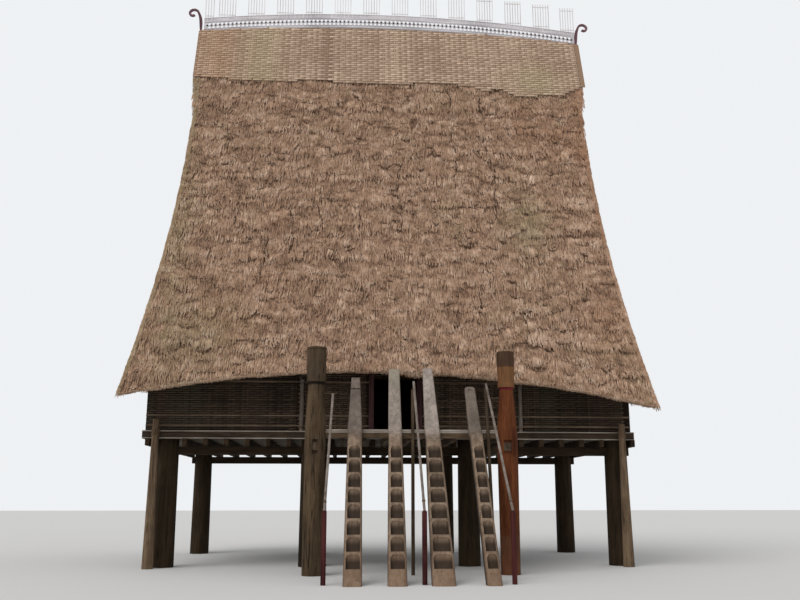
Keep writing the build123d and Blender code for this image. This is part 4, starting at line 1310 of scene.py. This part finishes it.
bindings = {
    "seed": 3,
    "turns": 3,
    "wire": 0.16,  # radius of the rattan, as a part of the coil's
    "steps": 10,
    "sides": 5,
    "leastTall": 0.05,
    # handrails: x and height of the head, x of the foot, from the middle of the house
    "rails": ((-1.69, 4.30, -1.795), (0.31, 4.62, 0.36), (2.125, 4.58, 2.285)),
    "railFoot": 1.52,
    "railParts": (0.05, 0.93),
    "railRadius": 0.034,
    # corner poles: places, and heights and radii of two coils
    "poleXs": (-6.47, 6.27),
    "poleIn": 0.15,
    "poleCoils": ((3.47, 0.098), (3.57, 0.097)),
    # posts with a ball on the sill
    "postXs": (-2.585, 3.487),
    "postIn": 0.068,
    "postCoil": (3.68, 0.058),
}


def coil():  # turns of rattan about the z axis, radius 1
    mesh = bmesh.new()
    wire = bindings["wire"]
    for turn in range(bindings["turns"]):
        ring = bmesh.ops.create_circle(mesh, cap_ends=False, segments=bindings["sides"], radius=wire)
        verts = ring["verts"]
        bmesh.ops.rotate(mesh, verts=verts, cent=(0, 0, 0), matrix=Matrix.Rotation(math.radians(90), 3, "X"))
        bmesh.ops.translate(mesh, verts=verts, vec=(1, 0, (turn - 1) * 2 * wire))
        edges = list({edge for vert in verts for edge in vert.link_edges})
        bmesh.ops.spin(
            mesh, geom=verts + edges, cent=(0, 0, 0), axis=(0, 0, 1), dvec=(0, 0, 0), angle=2 * math.pi,
            steps=bindings["steps"], use_merge=True,
        )
    bmesh.ops.remove_doubles(mesh, verts=mesh.verts, dist=0.0001)
    bmesh.ops.recalc_face_normals(mesh, faces=mesh.faces)
    return templateOf(mesh)


def bindingSpots():  # middle, direction of the pole and radius of each coil
    spots = []
    railLow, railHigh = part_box("handrails")
    for headX, headZ, footX in bindings["rails"]:
        head = Vector((houseX + headX, railHigh.y, headZ))
        foot = Vector((houseX + footX, railLow.y, bindings["railFoot"]))
        for part in bindings["railParts"]:
            spots.append((head.lerp(foot, part), (foot - head).normalized(), bindings["railRadius"]))
    up = Vector((0, 0, 1))
    poleLow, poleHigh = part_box("corner_posts")
    for height, radius in bindings["poleCoils"]:
        for x in bindings["poleXs"]:
            for y in (poleLow.y + bindings["poleIn"], poleHigh.y - bindings["poleIn"]):
                spots.append((Vector((houseX + x, y, height)), up, radius))
    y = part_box("entrance_posts")[0].y + bindings["postIn"]
    height, radius = bindings["postCoil"]
    for x in bindings["postXs"]:
        spots.append((Vector((houseX + x, y, height)), up, radius))
    return spots


def bindPoles():
    rows = []
    for middle, run, radius in bindingSpots():
        side = run.orthogonal().normalized()
        tall = max(radius, bindings["leastTall"])
        rows.append((middle, side * radius, run.cross(side) * radius, run * tall))
    copies = [np.array([vector[:] for vector in column]) for column in zip(*rows)]
    shades = plainShades(np.random.default_rng(bindings["seed"]), len(rows))
    joinCopies("bindings", coil(), (*copies, shades), finishes["rattan"])


bindPoles()
